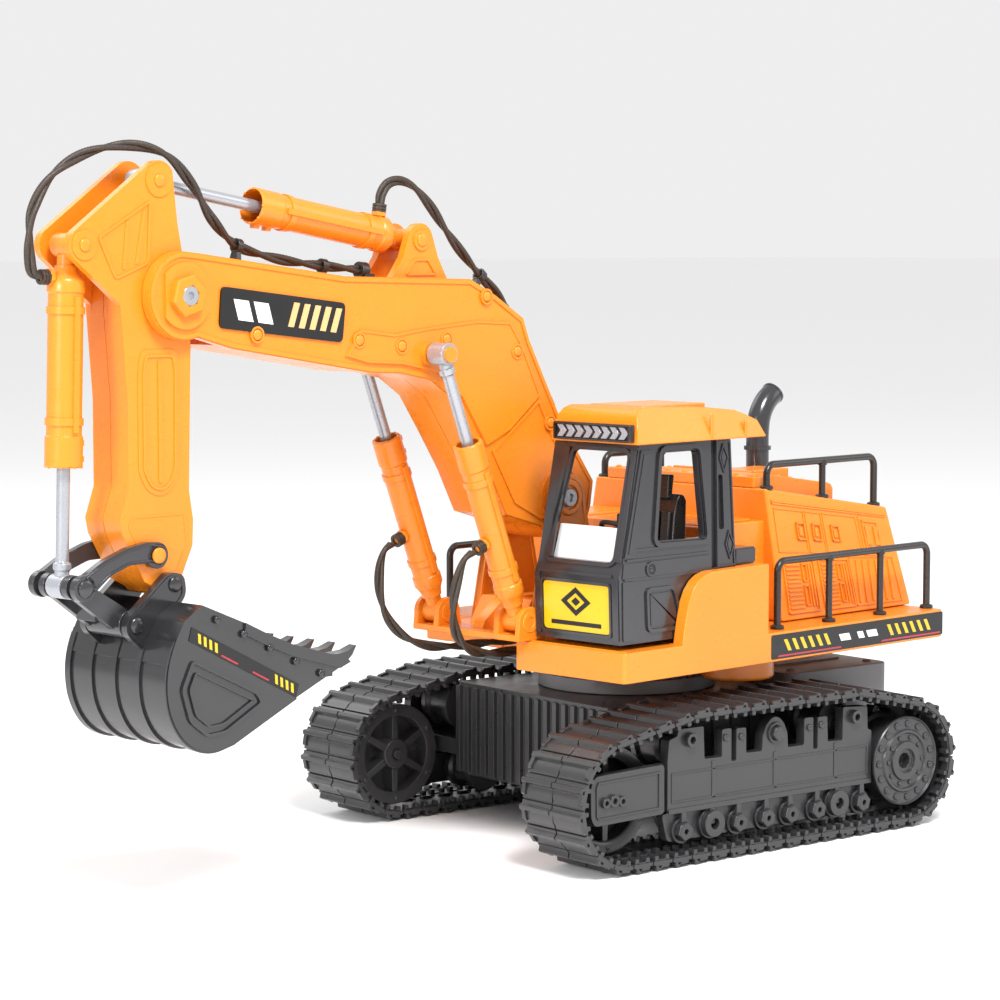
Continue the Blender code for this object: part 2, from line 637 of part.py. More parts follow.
def rail(name, feet, y, foot_z, top_z, radius=1.6):
    """A tube bent down at both ends, with straight posts between, each post on a round foot."""
    bend = 4.0
    inward = 1 if feet[-1] > feet[0] else -1
    turns = [math.radians(30 * k) for k in range(4)]
    route = [(feet[0], y, foot_z[0] + 0.7)]
    route += [(feet[0] + inward * bend * (1 - math.cos(t)), y, top_z - bend * (1 - math.sin(t)))
              for t in turns]
    route += [(feet[-1] - inward * bend * (1 - math.cos(t)), y, top_z - bend * (1 - math.sin(t)))
              for t in reversed(turns)]
    route += [(feet[-1], y, foot_z[-1] + 0.7)]
    posts = [bar((x, y, z + 0.7), (x, y, top_z - 0.3), radius - 0.15, 8)
             for x, z in zip(feet[1:-1], foot_z[1:-1])]
    flanges = [bar((x, y, z), (x, y, z + 1.6), radius * 1.9, 9) for x, z in zip(feet, foot_z)]
    piece(name, tube(route, radius), BLACK, house, add=posts + flanges)


def rails():
    low_feet = (-16.0, -51.0, -87.0, -121.0)
    rail("left_lower_rail", low_feet, 72.7, [SEAT_Z] * 4, 118.0)
    rail("right_lower_rail", (38.0, -2.0, -42.0, -82.0, -121.0), -72.7, [SEAT_Z] * 5, 118.0)
    slope = (HOOD_TOP_Z[0] - HOOD_TOP_Z[1]) / 82.3
    feet = (-37.5, -76.0, -113.0)
    heights = [HOOD_TOP_Z[0] + (x + 33.7) * slope + 0.6 for x in feet]
    rail("left_upper_rail", feet, 48.2, heights, 157.0)
    rail("right_upper_rail", feet, -48.2, heights, 157.0)


# ---------------------------------------------------------------- arm

def joint_line(at):
    return at[0], ARM_Y, at[1]


boom_axis = pivot("boom_axis", house, joint_line(BOOM_PIVOT))
stick_axis = pivot("stick_axis", boom_axis, joint_line(STICK_PIVOT))
bucket_axis = pivot("bucket_axis", stick_axis, joint_line(BUCKET_PIVOT))
rocker_axis = pivot("rocker_axis", stick_axis, joint_line(ROCKER_PIVOT))
link_axis = pivot("link_axis", rocker_axis, joint_line(LINK_PIN))


def boom():
    outline = [(251.0, 250.0), (175.7, 240.6), (106.7, 238.9), (75.7, 222.3), (72.0, 213.0),
               (52.9, 178.8), (33.0, 152.0)]
    outline += arc(BOOM_PIVOT, 18.0, 195, 320, 6)
    outline += [(86.4, 140.4), (106.9, 174.8), (129.6, 198.2), (162.6, 202.2), (233.9, 213.5)]
    outline += arc(STICK_PIVOT, 16.8, -110, 85, 9)
    pocket = inset([(226.0, 246.9), *outline[1:-11], (229.0, 212.8)], WALL)
    for side in ("left", "right"):
        def span(low, high):
            return (low, high) if side == "left" else mirrored((low, high))

        half = plate(outline, *span(ARM_Y + 0.15, ARM_Y + BOOM_HALF))
        ear = [(113.0, 238.0), (147.0, 238.0)] + arc(STICK_REAR_PIN, 6.8, 30, 150, 5)
        nut = disc(STICK_PIVOT, 8.0, *span(ARM_Y + STICK_HALF + 3.0, 13.6), steps=8)
        add = [plate(ear, *span(1.0, 4.4)), disc(BOOM_ROD_PIN, 4.6, *span(8.7, 13.7), steps=12), nut]
        pins = [disc(BOOM_ROD_PIN, AXLE_R, *span(9.3, 23.6), steps=8),
                disc(STICK_REAR_PIN, AXLE_R, *span(ARM_Y + 0.15, 3.0), steps=8)]
        cut = [plate(pocket, *span(ARM_Y - 1.0, ARM_Y + BOOM_HALF - WALL)),
               disc(STICK_PIVOT, 26.0, *span(ARM_Y - 2.0, ARM_Y + STICK_HALF + 0.4)),
               disc(STICK_PIVOT, 4.35, *span(ARM_Y - 2.0, 30.0), steps=16),
               disc(BOOM_PIVOT, 4.35, *span(ARM_Y - 2.0, 30.0), steps=16)]
        piece(f"boom_{side}_shell", half, ORANGE, boom_axis, add=add, cut=cut, late=pins)
    piece("stick_pivot_pin", disc(STICK_PIVOT, 4.0, -24.5, 14.5, steps=16), SILVER, boom_axis, smooth=True)


def stick():
    outline = arc(STICK_ROD_PIN, 7.5, 150, 55, 4)
    outline += arc(BUCKET_REAR_PIN, 6.8, 50, -50, 4)
    outline += [(283.5, 231.0), (280.6, 195.6), (280.6, 162.5), (284.8, 150.8), (283.6, 145.0)]
    outline += [(273.5, 127.0)] + arc(BUCKET_PIVOT, 4.8, -30, -150, 4)
    outline += [(250.3, 139.3), (249.9, 149.0), (251.8, 160.3), (250.4, 215.0), (253.4, 246.5),
                (256.4, 262.0)]
    fork = [(240.0, 300.0), (240.0, 263.5), (267.0, 262.0), (283.2, 236.0), (283.2, 226.0),
            (320.0, 226.0), (320.0, 300.0)]
    body = [(277.8, 231.0), (277.8, 163.0), (281.4, 150.8), (280.0, 145.6), (272.0, 133.0), (258.0, 133.0),
            (253.4, 141.0), (252.6, 149.0), (254.4, 160.3), (253.2, 215.0), (256.4, 246.5), (259.0, 259.0),
            (264.6, 259.0)]
    for side in ("left", "right"):
        def span(low, high):
            return (low, high) if side == "left" else mirrored((low, high))

        half = plate(outline, *span(ARM_Y + 0.15, ARM_Y + STICK_HALF))
        cut = [plate(fork, *span(ARM_Y - 1.0, ARM_Y + 7.4)),
               plate(body, *span(ARM_Y - 1.0, ARM_Y + STICK_HALF - 2.2)),
               disc(STICK_PIVOT, 4.35, *span(ARM_Y - 1.0, 30.0), steps=16),
               disc(BUCKET_PIVOT, HOLE_R, *span(ARM_Y - 1.0, 30.0), steps=8)]
        tube_wall = ring(STICK_PIVOT, 4.35, 5.8, *span(ARM_Y + 0.15, ARM_Y + 9.0), steps=16)
        pins = [tube_wall, disc(STICK_ROD_PIN, AXLE_R, *span(ARM_Y + 0.15, ARM_Y + 9.0), steps=8),
                disc(BUCKET_REAR_PIN, AXLE_R, *span(ARM_Y + 0.15, ARM_Y + 9.0), steps=8),
                disc(ROCKER_PIVOT, AXLE_R, *span(ARM_Y + 8.0, ARM_Y + 15.2), steps=8)]
        piece(f"stick_{side}_shell", half, ORANGE, stick_axis, cut=cut, late=pins)


def rocker():
    """Two arched arms on the stick, joined by the pin that carries the rod and the link."""
    def arm(low, high):
        outer = [(ROCKER_PIVOT[0] - 1, 141.6), (284.0, 140.6), (296.0, 136.5), (305.0, 131.4)]
        inner = [(299.4, 126.0), (292.0, 131.6), (283.0, 134.8), (274.0, 134.6)]
        arch = outer + inner + [(ROCKER_PIVOT[0] - 1, 133.0)]
        return [plate(arch, low, high), disc(ROCKER_PIVOT, 4.6, low, high, steps=12),
                disc(LINK_PIN, 4.6, low, high, steps=12)]

    near = (ARM_Y + 11.1, ARM_Y + 14.4)
    shapes = arm(*near) + arm(*mirrored(near))
    cross = disc(LINK_PIN, AXLE_R, ARM_Y - 14.0, ARM_Y + 14.0, steps=8)
    holes = disc(ROCKER_PIVOT, HOLE_R, ARM_Y - 20.0, ARM_Y + 20.0, steps=8)
    piece("rocker", shapes[0], GUNMETAL, rocker_axis, add=shapes[1:3] + [cross] + shapes[3:], cut=[holes])


def link():
    def side_plate(low, high):
        outline = [(301.0, 131.2), (307.0, 124.0), (284.4, 107.6), (277.0, 115.0)]
        return [plate(outline, low, high), disc(LINK_PIN, 4.6, low, high, steps=12)]

    near = (ARM_Y + 5.2, ARM_Y + 8.6)
    sleeve = disc(LINK_BUCKET_PIN, 5.2, ARM_Y - 10.4, ARM_Y + 10.4, steps=12)
    shapes = side_plate(*near) + side_plate(*mirrored(near))
    cut = [disc(LINK_PIN, HOLE_R, ARM_Y - 20.0, ARM_Y + 20.0, steps=8),
           disc(LINK_BUCKET_PIN, 3.2, ARM_Y - 20.0, ARM_Y + 20.0, steps=12)]
    piece("bucket_link", sleeve, GUNMETAL, link_axis, add=shapes, cut=cut)


def bucket():
    back = [(262.5, 119.0), (270.7, 114.0), (275.0, 106.8), (278.4, 97.9), (279.4, 88.8), (277.8, 79.2),
            (273.0, 70.6), (266.0, 65.2), (257.3, 63.3), (247.5, 65.2), (215.8, 79.4), (190.0, 90.2)]
    mouth = [(190.8, 92.4), (219.0, 100.4), (242.0, 110.6)]
    outline = back + mouth
    thick = 2.2
    inner = inset(back, thick)[1:-1]
    opening = [(186.0, 92.4), (186.0, 122.0), (258.0, 128.0), (262.0, 116.4)]
    floor_low = (192.0, 91.6)
    room = inner + [floor_low] + opening
    low, high = ARM_Y - BUCKET_HALF, ARM_Y + BUCKET_HALF
    ear = [(257.4, 129.0), (265.0, 130.4), (285.0, 114.0), (285.2, 108.4), (277.0, 101.0), (264.0, 113.0),
           (256.4, 121.0)]
    near = (ARM_Y + 11.1, ARM_Y + 14.4)
    ears = [plate(ear, *near), plate(ear, *mirrored(near))]
    pins = [disc(BUCKET_PIVOT, AXLE_R, ARM_Y - 12.0, ARM_Y + 12.0, steps=8),
            disc(LINK_BUCKET_PIN, 1.7, ARM_Y - 12.0, ARM_Y + 12.0, steps=8)]
    teeth = []
    count = 5
    for i in range(count):
        y = low + (i + 0.5) * (high - low) / count
        teeth.append(hull([(197.0, y - 4, 87.0), (197.0, y + 4, 87.0), (197.0, y - 4, 92.6),
                           (197.0, y + 4, 92.6), (181.0, y - 1.6, 95.2), (181.0, y + 1.6, 95.2),
                           (183.0, y - 1.6, 93.4), (183.0, y + 1.6, 93.4)]))
    piece("bucket", plate(outline, low, high), GUNMETAL, bucket_axis,
          cut=[plate(room, low + 2.0, high - 2.0)], late=ears + pins + teeth)


def ram(name, rear, front, span, gland, outer, bore, floor, body_axis, rod_axis, rod_in, nipple_at=None,
        nipple_side=1):
    """A cylinder with an eye at its rear pin, and the rod that slides in it with an eye at its front pin."""
    low, high = span
    y = (low + high) / 2
    start = Vector((rear[0], y, rear[1]))
    end = Vector((front[0], y, front[1]))
    along = (end - start).normalized()
    side = Vector((along.z, 0, -along.x)) * nipple_side
    body = turned([(0, 7.5), (4.2, 7.5), (4.2, 10), (outer, 13), (outer, gland), (bore, gland), (bore, floor),
                   (0, floor)], start, end, 16)
    eye = disc(rear, 4.6, low, high, steps=12)
    neck = bar(start + along * 1.0, start + along * 9.0, 3.6, 12)
    add = [eye, neck]
    if nipple_at:
        root = start + along * nipple_at + side * (outer - 1.0)
        add.append(bar(root, root + side * 5.0, 2.4, 10))
    piece(f"{name}_cylinder", body, ORANGE, body_axis, add=add,
          cut=[disc(rear, HOLE_R, low - 2, high + 2, steps=8)], smooth=True)
    rod = bar(end - along * 2.0, start + along * (gland - rod_in), ROD_R, 10)
    head = disc(front, 4.6, low, high, steps=12)
    piece(f"{name}_rod", rod, SILVER, rod_axis, add=[head],
          cut=[disc(front, HOLE_R, low - 2, high + 2, steps=8)], smooth=True)


def rams():
    for side, sign in (("left", 1), ("right", -1)):
        y = ARM_Y + sign * RAM_OFFSET
        span = (y - 4.3, y + 4.3)
        body = pivot(f"{side}_boom_cylinder_axis", house, (BOOM_FOOT[0], y, BOOM_FOOT[1]))
        rod = pivot(f"{side}_boom_rod_axis", boom_axis, (BOOM_ROD_PIN[0], y, BOOM_ROD_PIN[1]))
        ram(f"{side}_boom", BOOM_FOOT, BOOM_ROD_PIN, span, 81.0, 6.2, 4.7, 30.0, body, rod, 27.0, 38.0)
    body = pivot("stick_cylinder_axis", boom_axis, joint_line(STICK_REAR_PIN))
    rod = pivot("stick_rod_axis", stick_axis, joint_line(STICK_ROD_PIN))
    ram("stick", STICK_REAR_PIN, STICK_ROD_PIN, (ARM_Y - 4.3, ARM_Y + 4.3), 83.0, 7.3, 6.6, 30.0, body, rod,
        18.0, 16.0, -1)
    body = pivot("bucket_cylinder_axis", stick_axis, joint_line(BUCKET_REAR_PIN))
    rod = pivot("bucket_rod_axis", rocker_axis, joint_line(LINK_PIN))
    ram("bucket", BUCKET_REAR_PIN, LINK_PIN, (ARM_Y - 4.3, ARM_Y + 4.3), 82.0, 7.1, 6.4, 34.0, body, rod,
        18.0, 12.0, -1)


def hoses():
    left = [(114.2, 19.3, 127.6), (119.0, 19.0, 124.5), (122.0, 18.4, 117.0), (123.0, 17.0, 107.0),
            (120.5, 15.0, 97.0), (113.5, 12.5, 89.0), (103.0, 10.5, 84.5), (90.0, 9.0, 82.8),
            (74.0, 8.0, 82.6), (60.0, 7.6, 82.6), (44.6, 7.4, 82.6)]
    right = [(x, 2 * ARM_Y - y, z) for x, y, z in left]
    hose("left_boom_hose", left, HOSE_R, house)
    hose("right_boom_hose", right, HOSE_R, house)
    stick_hose = [(142.9, ARM_Y, 268.9), (142.0, ARM_Y, 273.4), (138.2, ARM_Y, 277.6),
                  (131.5, ARM_Y, 278.8), (123.5, ARM_Y, 276.0), (115.0, ARM_Y, 269.0),
                  (107.0, ARM_Y, 260.0), (97.0, ARM_Y, 250.0), (86.0, ARM_Y, 240.0), (75.0, ARM_Y, 231.5),
                  (66.0, ARM_Y, 220.0), (57.0, ARM_Y, 204.0), (45.5, ARM_Y, 184.0)]
    hose("stick_hose", stick_hose, HOSE_R, boom_axis)
    beside = ARM_Y + 6.6
    bucket_hose = [(312.5, ARM_Y, 241.4), (315.6, ARM_Y, 243.2), (316.6, ARM_Y, 247.8),
                   (316.8, ARM_Y, 255.0), (315.0, ARM_Y, 266.0), (306.0, ARM_Y, 278.5),
                   (290.0, ARM_Y, 287.0), (272.0, ARM_Y + 3.0, 290.0),
                   (258.0, beside, 286.5), (246.0, beside, 276.0), (235.0, ARM_Y + 5.0, 263.0),
                   (219.0, ARM_Y + 1.0, 252.6), (196.0, ARM_Y, 247.2), (170.0, ARM_Y, 244.2),
                   (151.0, ARM_Y, 242.6)]
    hose("bucket_hose", bucket_hose, HOSE_R, boom_axis)


chassis()
drive_housing()
slew_ring()
track("left", 1)
track("right", -1)
deck()
boom_bracket()
hood()
cab()
rails()
boom()
stick()
rocker()
link()
bucket()
rams()
hoses()
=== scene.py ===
"""The looks of the toy excavator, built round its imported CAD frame.

Shapes are drawn in millimetres in one of two spaces. BASE is the undercarriage, with its origin on the ground
under the slew axis, +X forward and +Y to the machine's left. HOUSE is BASE turned by the slew at rest.
"""

import math

import bmesh
import bpy
from mathutils import Matrix, Vector


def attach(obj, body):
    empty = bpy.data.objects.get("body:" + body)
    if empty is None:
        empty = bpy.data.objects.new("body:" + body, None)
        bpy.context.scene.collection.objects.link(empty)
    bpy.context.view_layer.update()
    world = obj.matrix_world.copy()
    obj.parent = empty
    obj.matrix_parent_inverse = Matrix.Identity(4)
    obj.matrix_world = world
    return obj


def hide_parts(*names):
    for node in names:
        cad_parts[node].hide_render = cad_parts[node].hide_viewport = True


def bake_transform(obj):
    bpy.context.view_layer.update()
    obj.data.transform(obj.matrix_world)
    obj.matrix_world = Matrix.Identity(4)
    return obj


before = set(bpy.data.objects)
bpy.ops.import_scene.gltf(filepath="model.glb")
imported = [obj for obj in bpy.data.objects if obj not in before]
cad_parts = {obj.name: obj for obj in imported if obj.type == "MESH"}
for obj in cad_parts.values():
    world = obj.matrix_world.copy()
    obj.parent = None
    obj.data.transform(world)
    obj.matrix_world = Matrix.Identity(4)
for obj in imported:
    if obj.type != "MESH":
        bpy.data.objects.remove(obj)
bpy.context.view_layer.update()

MM = 0.001
BASE = Matrix.Translation((-93.52 * MM, 0.0, 0.0)) @ Matrix.Scale(MM, 4)
HOUSE = BASE @ Matrix.Rotation(math.radians(6.0), 4, "Z")
ARM_Y = -5.0
SHARP = math.radians(38.0)


# ---------------------------------------------------------------- camera, floor and light

EYE = Vector((882.3, 998.2, 255.0))
HEADING = Vector((-0.6303, -0.7764, -0.0857))
LENS = 109.4


def camera_and_studio():
    lens = bpy.data.cameras.new("camera")
    lens.lens = LENS
    lens.sensor_width = 36.0
    lens.clip_start = 0.05
    camera = bpy.data.objects.new("camera", lens)
    bpy.context.collection.objects.link(camera)
    camera.location = BASE @ EYE
    camera.rotation_euler = HEADING.to_track_quat("-Z", "Y").to_euler()
    bpy.context.scene.camera = camera

    world = bpy.data.worlds.new("studio")
    bpy.context.scene.world = world
    bpy.context.scene.view_settings.view_transform = "Standard"
    bpy.context.scene.view_settings.exposure = 0.25
    world.use_nodes = True
    back = world.node_tree.nodes["Background"]
    back.inputs["Color"].default_value = (1.0, 1.0, 1.0, 1.0)
    back.inputs["Strength"].default_value = 0.72

    for name, place, size, power in (("key", (0.35, 1.0, 1.4), 0.5, 27.0),
                                     ("front", (1.4, 0.4, 0.55), 0.3, 9.0),
                                     ("rear", (-1.3, 0.9, 0.9), 0.8, 4.0),
                                     ("far", (0.2, -1.3, 1.1), 0.9, 4.0)):
        light = bpy.data.lights.new(name, "AREA")
        light.size = size
        light.energy = power
        lamp = bpy.data.objects.new(name, light)
        bpy.context.collection.objects.link(lamp)
        lamp.location = place
        lamp.rotation_euler = (Vector((0, 0, 0.12)) - Vector(place)).to_track_quat("-Z", "Y").to_euler()

    floor = bpy.data.meshes.new("floor")
    reach = 30.0
    floor.from_pydata([(-reach, -reach, -0.0006), (reach, -reach, -0.0006), (reach, reach, -0.0006),
                       (-reach, reach, -0.0006)], [], [(0, 1, 2, 3)])
    ground = bpy.data.objects.new("floor", floor)
    bpy.context.collection.objects.link(ground)
    paper = bpy.data.materials.new("floor")
    paper.use_nodes = True
    shader = paper.node_tree.nodes["Principled BSDF"]
    shader.inputs["Base Color"].default_value = (0.96, 0.96, 0.96, 1.0)
    shader.inputs["Roughness"].default_value = 0.9
    floor.materials.append(paper)


# ---------------------------------------------------------------- materials

def moulded(name, colour, shade, roughness, grain=0.05, grain_size=900.0, metallic=0.0, coat=0.0,
            scatter=0.0, cloud_size=22.0):
    """Moulded plastic: cloudy colour, uneven gloss, fine grain and faint scuffs."""
    made = bpy.data.materials.new(name)
    made.use_nodes = True
    nodes = made.node_tree.nodes
    links = made.node_tree.links
    shader = nodes["Principled BSDF"]
    place = nodes.new("ShaderNodeTexCoord")
    cloud = nodes.new("ShaderNodeTexNoise")
    cloud.inputs["Scale"].default_value = cloud_size
    cloud.inputs["Detail"].default_value = 3.0
    links.new(place.outputs["Object"], cloud.inputs["Vector"])
    tint = nodes.new("ShaderNodeMix")
    tint.data_type = "RGBA"
    tint.inputs[6].default_value = (*colour, 1.0)
    tint.inputs[7].default_value = (*shade, 1.0)
    links.new(cloud.outputs["Fac"], tint.inputs["Factor"])
    links.new(tint.outputs[2], shader.inputs["Base Color"])

    stretch = nodes.new("ShaderNodeMapping")
    stretch.inputs["Scale"].default_value = (90.0, 130.0, 170.0)
    stretch.inputs["Rotation"].default_value = (0.4, 0.7, 0.2)
    scuff = nodes.new("ShaderNodeTexNoise")
    scuff.inputs["Scale"].default_value = 1.0
    scuff.inputs["Detail"].default_value = 5.0
    links.new(place.outputs["Object"], stretch.inputs["Vector"])
    links.new(stretch.outputs["Vector"], scuff.inputs["Vector"])
    gloss = nodes.new("ShaderNodeMapRange")
    gloss.inputs["From Min"].default_value = 0.3
    gloss.inputs["From Max"].default_value = 0.75
    gloss.inputs["To Min"].default_value = roughness - 0.03
    gloss.inputs["To Max"].default_value = roughness + 0.06
    links.new(scuff.outputs["Fac"], gloss.inputs["Value"])
    links.new(gloss.outputs["Result"], shader.inputs["Roughness"])

    fine = nodes.new("ShaderNodeTexNoise")
    fine.inputs["Scale"].default_value = grain_size
    fine.inputs["Detail"].default_value = 2.0
    links.new(place.outputs["Object"], fine.inputs["Vector"])
    bump = nodes.new("ShaderNodeBump")
    bump.inputs["Strength"].default_value = grain
    bump.inputs["Distance"].default_value = 0.0004
    links.new(fine.outputs["Fac"], bump.inputs["Height"])
    links.new(bump.outputs["Normal"], shader.inputs["Normal"])
    shader.inputs["Metallic"].default_value = metallic
    shader.inputs["Coat Weight"].default_value = coat
    shader.inputs["Coat Roughness"].default_value = 0.18
    if scatter:
        shader.inputs["Subsurface Weight"].default_value = scatter
        shader.inputs["Subsurface Radius"].default_value = (1.0, 0.35, 0.08)
        shader.inputs["Subsurface Scale"].default_value = 0.003
    return made


ORANGE = moulded("orange_plastic", (0.80, 0.235, 0.014), (0.76, 0.205, 0.010), 0.28, 0.04, scatter=0.06)
GREY = moulded("dark_grey_plastic", (0.040, 0.040, 0.042), (0.028, 0.028, 0.030), 0.30, 0.08, 700.0,
               metallic=0.15, coat=0.15)
PALE = moulded("pale_grey_plastic", (0.150, 0.150, 0.158), (0.120, 0.120, 0.127), 0.40, 0.08)
GUNMETAL = moulded("gunmetal_plastic", (0.048, 0.048, 0.052), (0.036, 0.036, 0.040), 0.19, 0.03,
                   metallic=0.45, coat=0.35)
BUCKET_GREY = moulded("bucket_plastic", (0.028, 0.028, 0.030), (0.020, 0.020, 0.022), 0.17, 0.03,
                      metallic=0.2, coat=0.35)
SILVER = moulded("silver_plastic", (0.40, 0.41, 0.44), (0.33, 0.34, 0.37), 0.26, 0.03, metallic=0.5)
BLACK = moulded("black_plastic", (0.024, 0.019, 0.017), (0.014, 0.012, 0.011), 0.27, 0.05)
SOFT_BLACK = moulded("soft_black", (0.020, 0.019, 0.019), (0.010, 0.010, 0.010), 0.62, 0.25, 1400.0)
HOSE = moulded("hose_rubber", (0.002, 0.002, 0.002), (0.060, 0.038, 0.024), 0.45, 0.40, 2200.0,
               cloud_size=1300.0)
WHITE = moulded("pale_panel", (0.80, 0.80, 0.80), (0.74, 0.74, 0.74), 0.40, 0.03)
BOARD = moulded("board_green", (0.03, 0.20, 0.08), (0.02, 0.15, 0.06), 0.35)
STICKER_BLACK = moulded("sticker_black", (0.004, 0.004, 0.004), (0.003, 0.003, 0.003), 0.34, 0.01)
STICKER_YELLOW = moulded("sticker_yellow", (0.70, 0.45, 0.002), (0.66, 0.41, 0.002), 0.28, 0.01, coat=0.2)
STICKER_RED = moulded("sticker_red", (0.42, 0.012, 0.035), (0.36, 0.010, 0.028), 0.28, 0.01, coat=0.3)
STICKER_PALE = moulded("sticker_pale", (0.85, 0.83, 0.80), (0.80, 0.78, 0.75), 0.28, 0.01, coat=0.3)
STICKER_GOLD = moulded("sticker_gold", (0.80, 0.44, 0.19), (0.72, 0.38, 0.15), 0.28, 0.01, coat=0.3)


# ---------------------------------------------------------------- shapes in millimetres

def block(low, high):
    bm = bmesh.new()
    bmesh.ops.create_cube(bm, size=1.0)
    for vert in bm.verts:
        vert.co = [low[i] + (high[i] - low[i]) * (vert.co[i] + 0.5) for i in range(3)]
    return bm


def hull(points):
    bm = bmesh.new()
    for point in points:
        bm.verts.new(point)
    bmesh.ops.convex_hull(bm, input=bm.verts)
    bmesh.ops.dissolve_limit(bm, angle_limit=0.01, verts=bm.verts, edges=bm.edges)
    return bm


ORDER = {"X": (2, 0, 1), "Y": (0, 2, 1), "Z": (0, 1, 2)}


def spread(a, b, level, axis):
    """The point whose two outline numbers are a and b, at a level along the axis."""
    triple = (a, b, level)
    return [triple[i] for i in ORDER[axis]]


def skin(loops, ring=False, caps=True):
    """Faces from each loop of points to the next. The loops close to a ring, or the end ones are capped."""
    bm = bmesh.new()
    made = [[bm.verts.new(point) for point in loop] for loop in loops]
    for first, second in zip(made, made[1:] + made[:1] if ring else made[1:]):
        for i in range(len(first)):
            j = (i + 1) % len(first)
            bm.faces.new((first[i], first[j], second[j], second[i]))
    if caps and not ring:
        bm.faces.new(made[0])
        bm.faces.new(made[-1])
    bmesh.ops.recalc_face_normals(bm, faces=bm.faces)
    return bm


def border(outline, width, low, high):
    """Four (loop, level) pairs round the section of a border that follows an outline."""
    inner = inset(outline, width)
    return (outline, low), (outline, high), (inner, high), (inner, low)


def plate(outline, low, high, axis="Y"):
    """An outline pushed along an axis."""
    return skin([[spread(a, b, level, axis) for a, b in outline] for level in (low, high)])


def rim(outline, width, low, high, axis="Y"):
    """A raised or sunk border that follows an outline, width wide."""
    return skin([[spread(a, b, level, axis) for a, b in loop]
                 for loop, level in border(outline, width, low, high)], ring=True)


def turned(profile, start, toward, steps=40):
    """A closed (radius, distance) profile turned about the line from start toward another point."""
    bm = bmesh.new()
    along = (Vector(toward) - Vector(start)).normalized()
    side = along.orthogonal().normalized()
    other = along.cross(side)
    angles = [2 * math.pi * k / steps for k in range(steps)]
    loops = []
    for radius, distance in profile:
        centre = Vector(start) + along * distance
        if radius < 1e-6:
            loops.append([bm.verts.new(centre)])
        else:
            loops.append([bm.verts.new(centre + radius * (side * math.cos(a) + other * math.sin(a)))
                          for a in angles])
    for here, after in zip(loops, loops[1:] + loops[:1]):
        if len(here) == 1 and len(after) == 1:
            continue
        for k in range(steps):
            m = (k + 1) % steps
            corners = [here[k % len(here)], here[m % len(here)], after[m % len(after)], after[k % len(after)]]
            bm.faces.new(list(dict.fromkeys(corners)))
    bmesh.ops.recalc_face_normals(bm, faces=bm.faces)
    return bm


def above(x, y, z):
    """A point and another one straight above it, the axis of an upright turned shape."""
    return (x, y, z), (x, y, z + 1)


def beside(x, y, z, sign):
    """A point and another one next to it along Y, on the side that sign tells."""
    return (x, y, z), (x, y + sign, z)


def slab(low, high, corner=2.0):
    """A box between two corners with its upright edges rounded."""
    outline = [(low[0], low[1]), (high[0], low[1]), (high[0], high[1]), (low[0], high[1])]
    return plate(rounded(outline, corner), low[2], high[2], axis="Z")


def disc(centre, radius, low, high, steps=40):
    x, z = centre
    return turned([(0, low), (radius, low), (radius, high), (0, high)], (x, 0, z), (x, 1, z), steps)


def ring(centre, inner, outer, low, high, steps=40):
    x, z = centre
    return turned([(inner, low), (outer, low), (outer, high), (inner, high)], (x, 0, z), (x, 1, z), steps)


def bar(start, end, radius, steps=24):
    length = (Vector(end) - Vector(start)).length
    return turned([(0, 0), (radius, 0), (radius, length), (0, length)], start, end, steps)


def dome(at, toward, radius, height, steps=20):
    """A low round screw or rivet head."""
    profile = [(0, -0.3), (radius, -0.3), (radius, height * 0.45)]
    profile += [(radius * math.cos(t), height * (0.45 + 0.55 * math.sin(t))) for t in (0.4, 0.8, 1.2)]
    return turned(profile + [(0, height)], at, toward, steps)


def sweep(points, radius, steps=16, caps=True):
    """A round rod along points, mitred at each one. Its radius is one number or one for each point."""
    points = [Vector(p) for p in points]
    angles = [2 * math.pi * k / steps for k in range(steps)]
    loops = []
    up = None
    for i, point in enumerate(points):
        before = (point - points[i - 1]).normalized() if i else (points[1] - point).normalized()
        after = (points[i + 1] - point).normalized() if i < len(points) - 1 else before
        along = (before + after).normalized()
        up = along.orthogonal() if up is None else up - along * up.dot(along)
        up.normalize()
        side = along.cross(up)
        size = radius[i] if isinstance(radius, list) else radius
        loops.append([point + size * (up * math.cos(a) + side * math.sin(a)) for a in angles])
    return skin(loops, caps=caps)


def arc(centre, radius, first, last, steps):
    return [(centre[0] + radius * math.cos(math.radians(first + (last - first) * i / steps)),
             centre[1] + radius * math.sin(math.radians(first + (last - first) * i / steps)))
            for i in range(steps + 1)]


def inset(outline, width):
    """The outline moved inward by a width, whichever way round it runs."""
    count = len(outline)
    area = sum(outline[i][0] * outline[(i + 1) % count][1] - outline[(i + 1) % count][0] * outline[i][1]
               for i in range(count))
    sign = 1.0 if area > 0 else -1.0
    moved = []
    for i in range(count):
        here = Vector(outline[i])
        u = (here - Vector(outline[i - 1])).normalized()
        v = (Vector(outline[(i + 1) % count]) - here).normalized()
        normal = Vector((-u.y, u.x)) * sign
        mitre = (normal + Vector((-v.y, v.x)) * sign).normalized()
        moved.append(tuple(here + mitre * width / max(0.5, mitre.dot(normal))))
    return moved


def rounded(outline, radius, steps=4):
    """The outline with its corners turned into short arcs."""
    points = []
    count = len(outline)
    for i in range(count):
        here = Vector(outline[i])
        back = Vector(outline[i - 1]) - here
        ahead = Vector(outline[(i + 1) % count]) - here
        reach = min(radius, back.length * 0.45, ahead.length * 0.45)
        start = here + back.normalized() * reach
        end = here + ahead.normalized() * reach
        for k in range(steps + 1):
            t = k / steps
            points.append(tuple(start * (1 - t) ** 2 + here * 2 * t * (1 - t) + end * t ** 2))
    return points


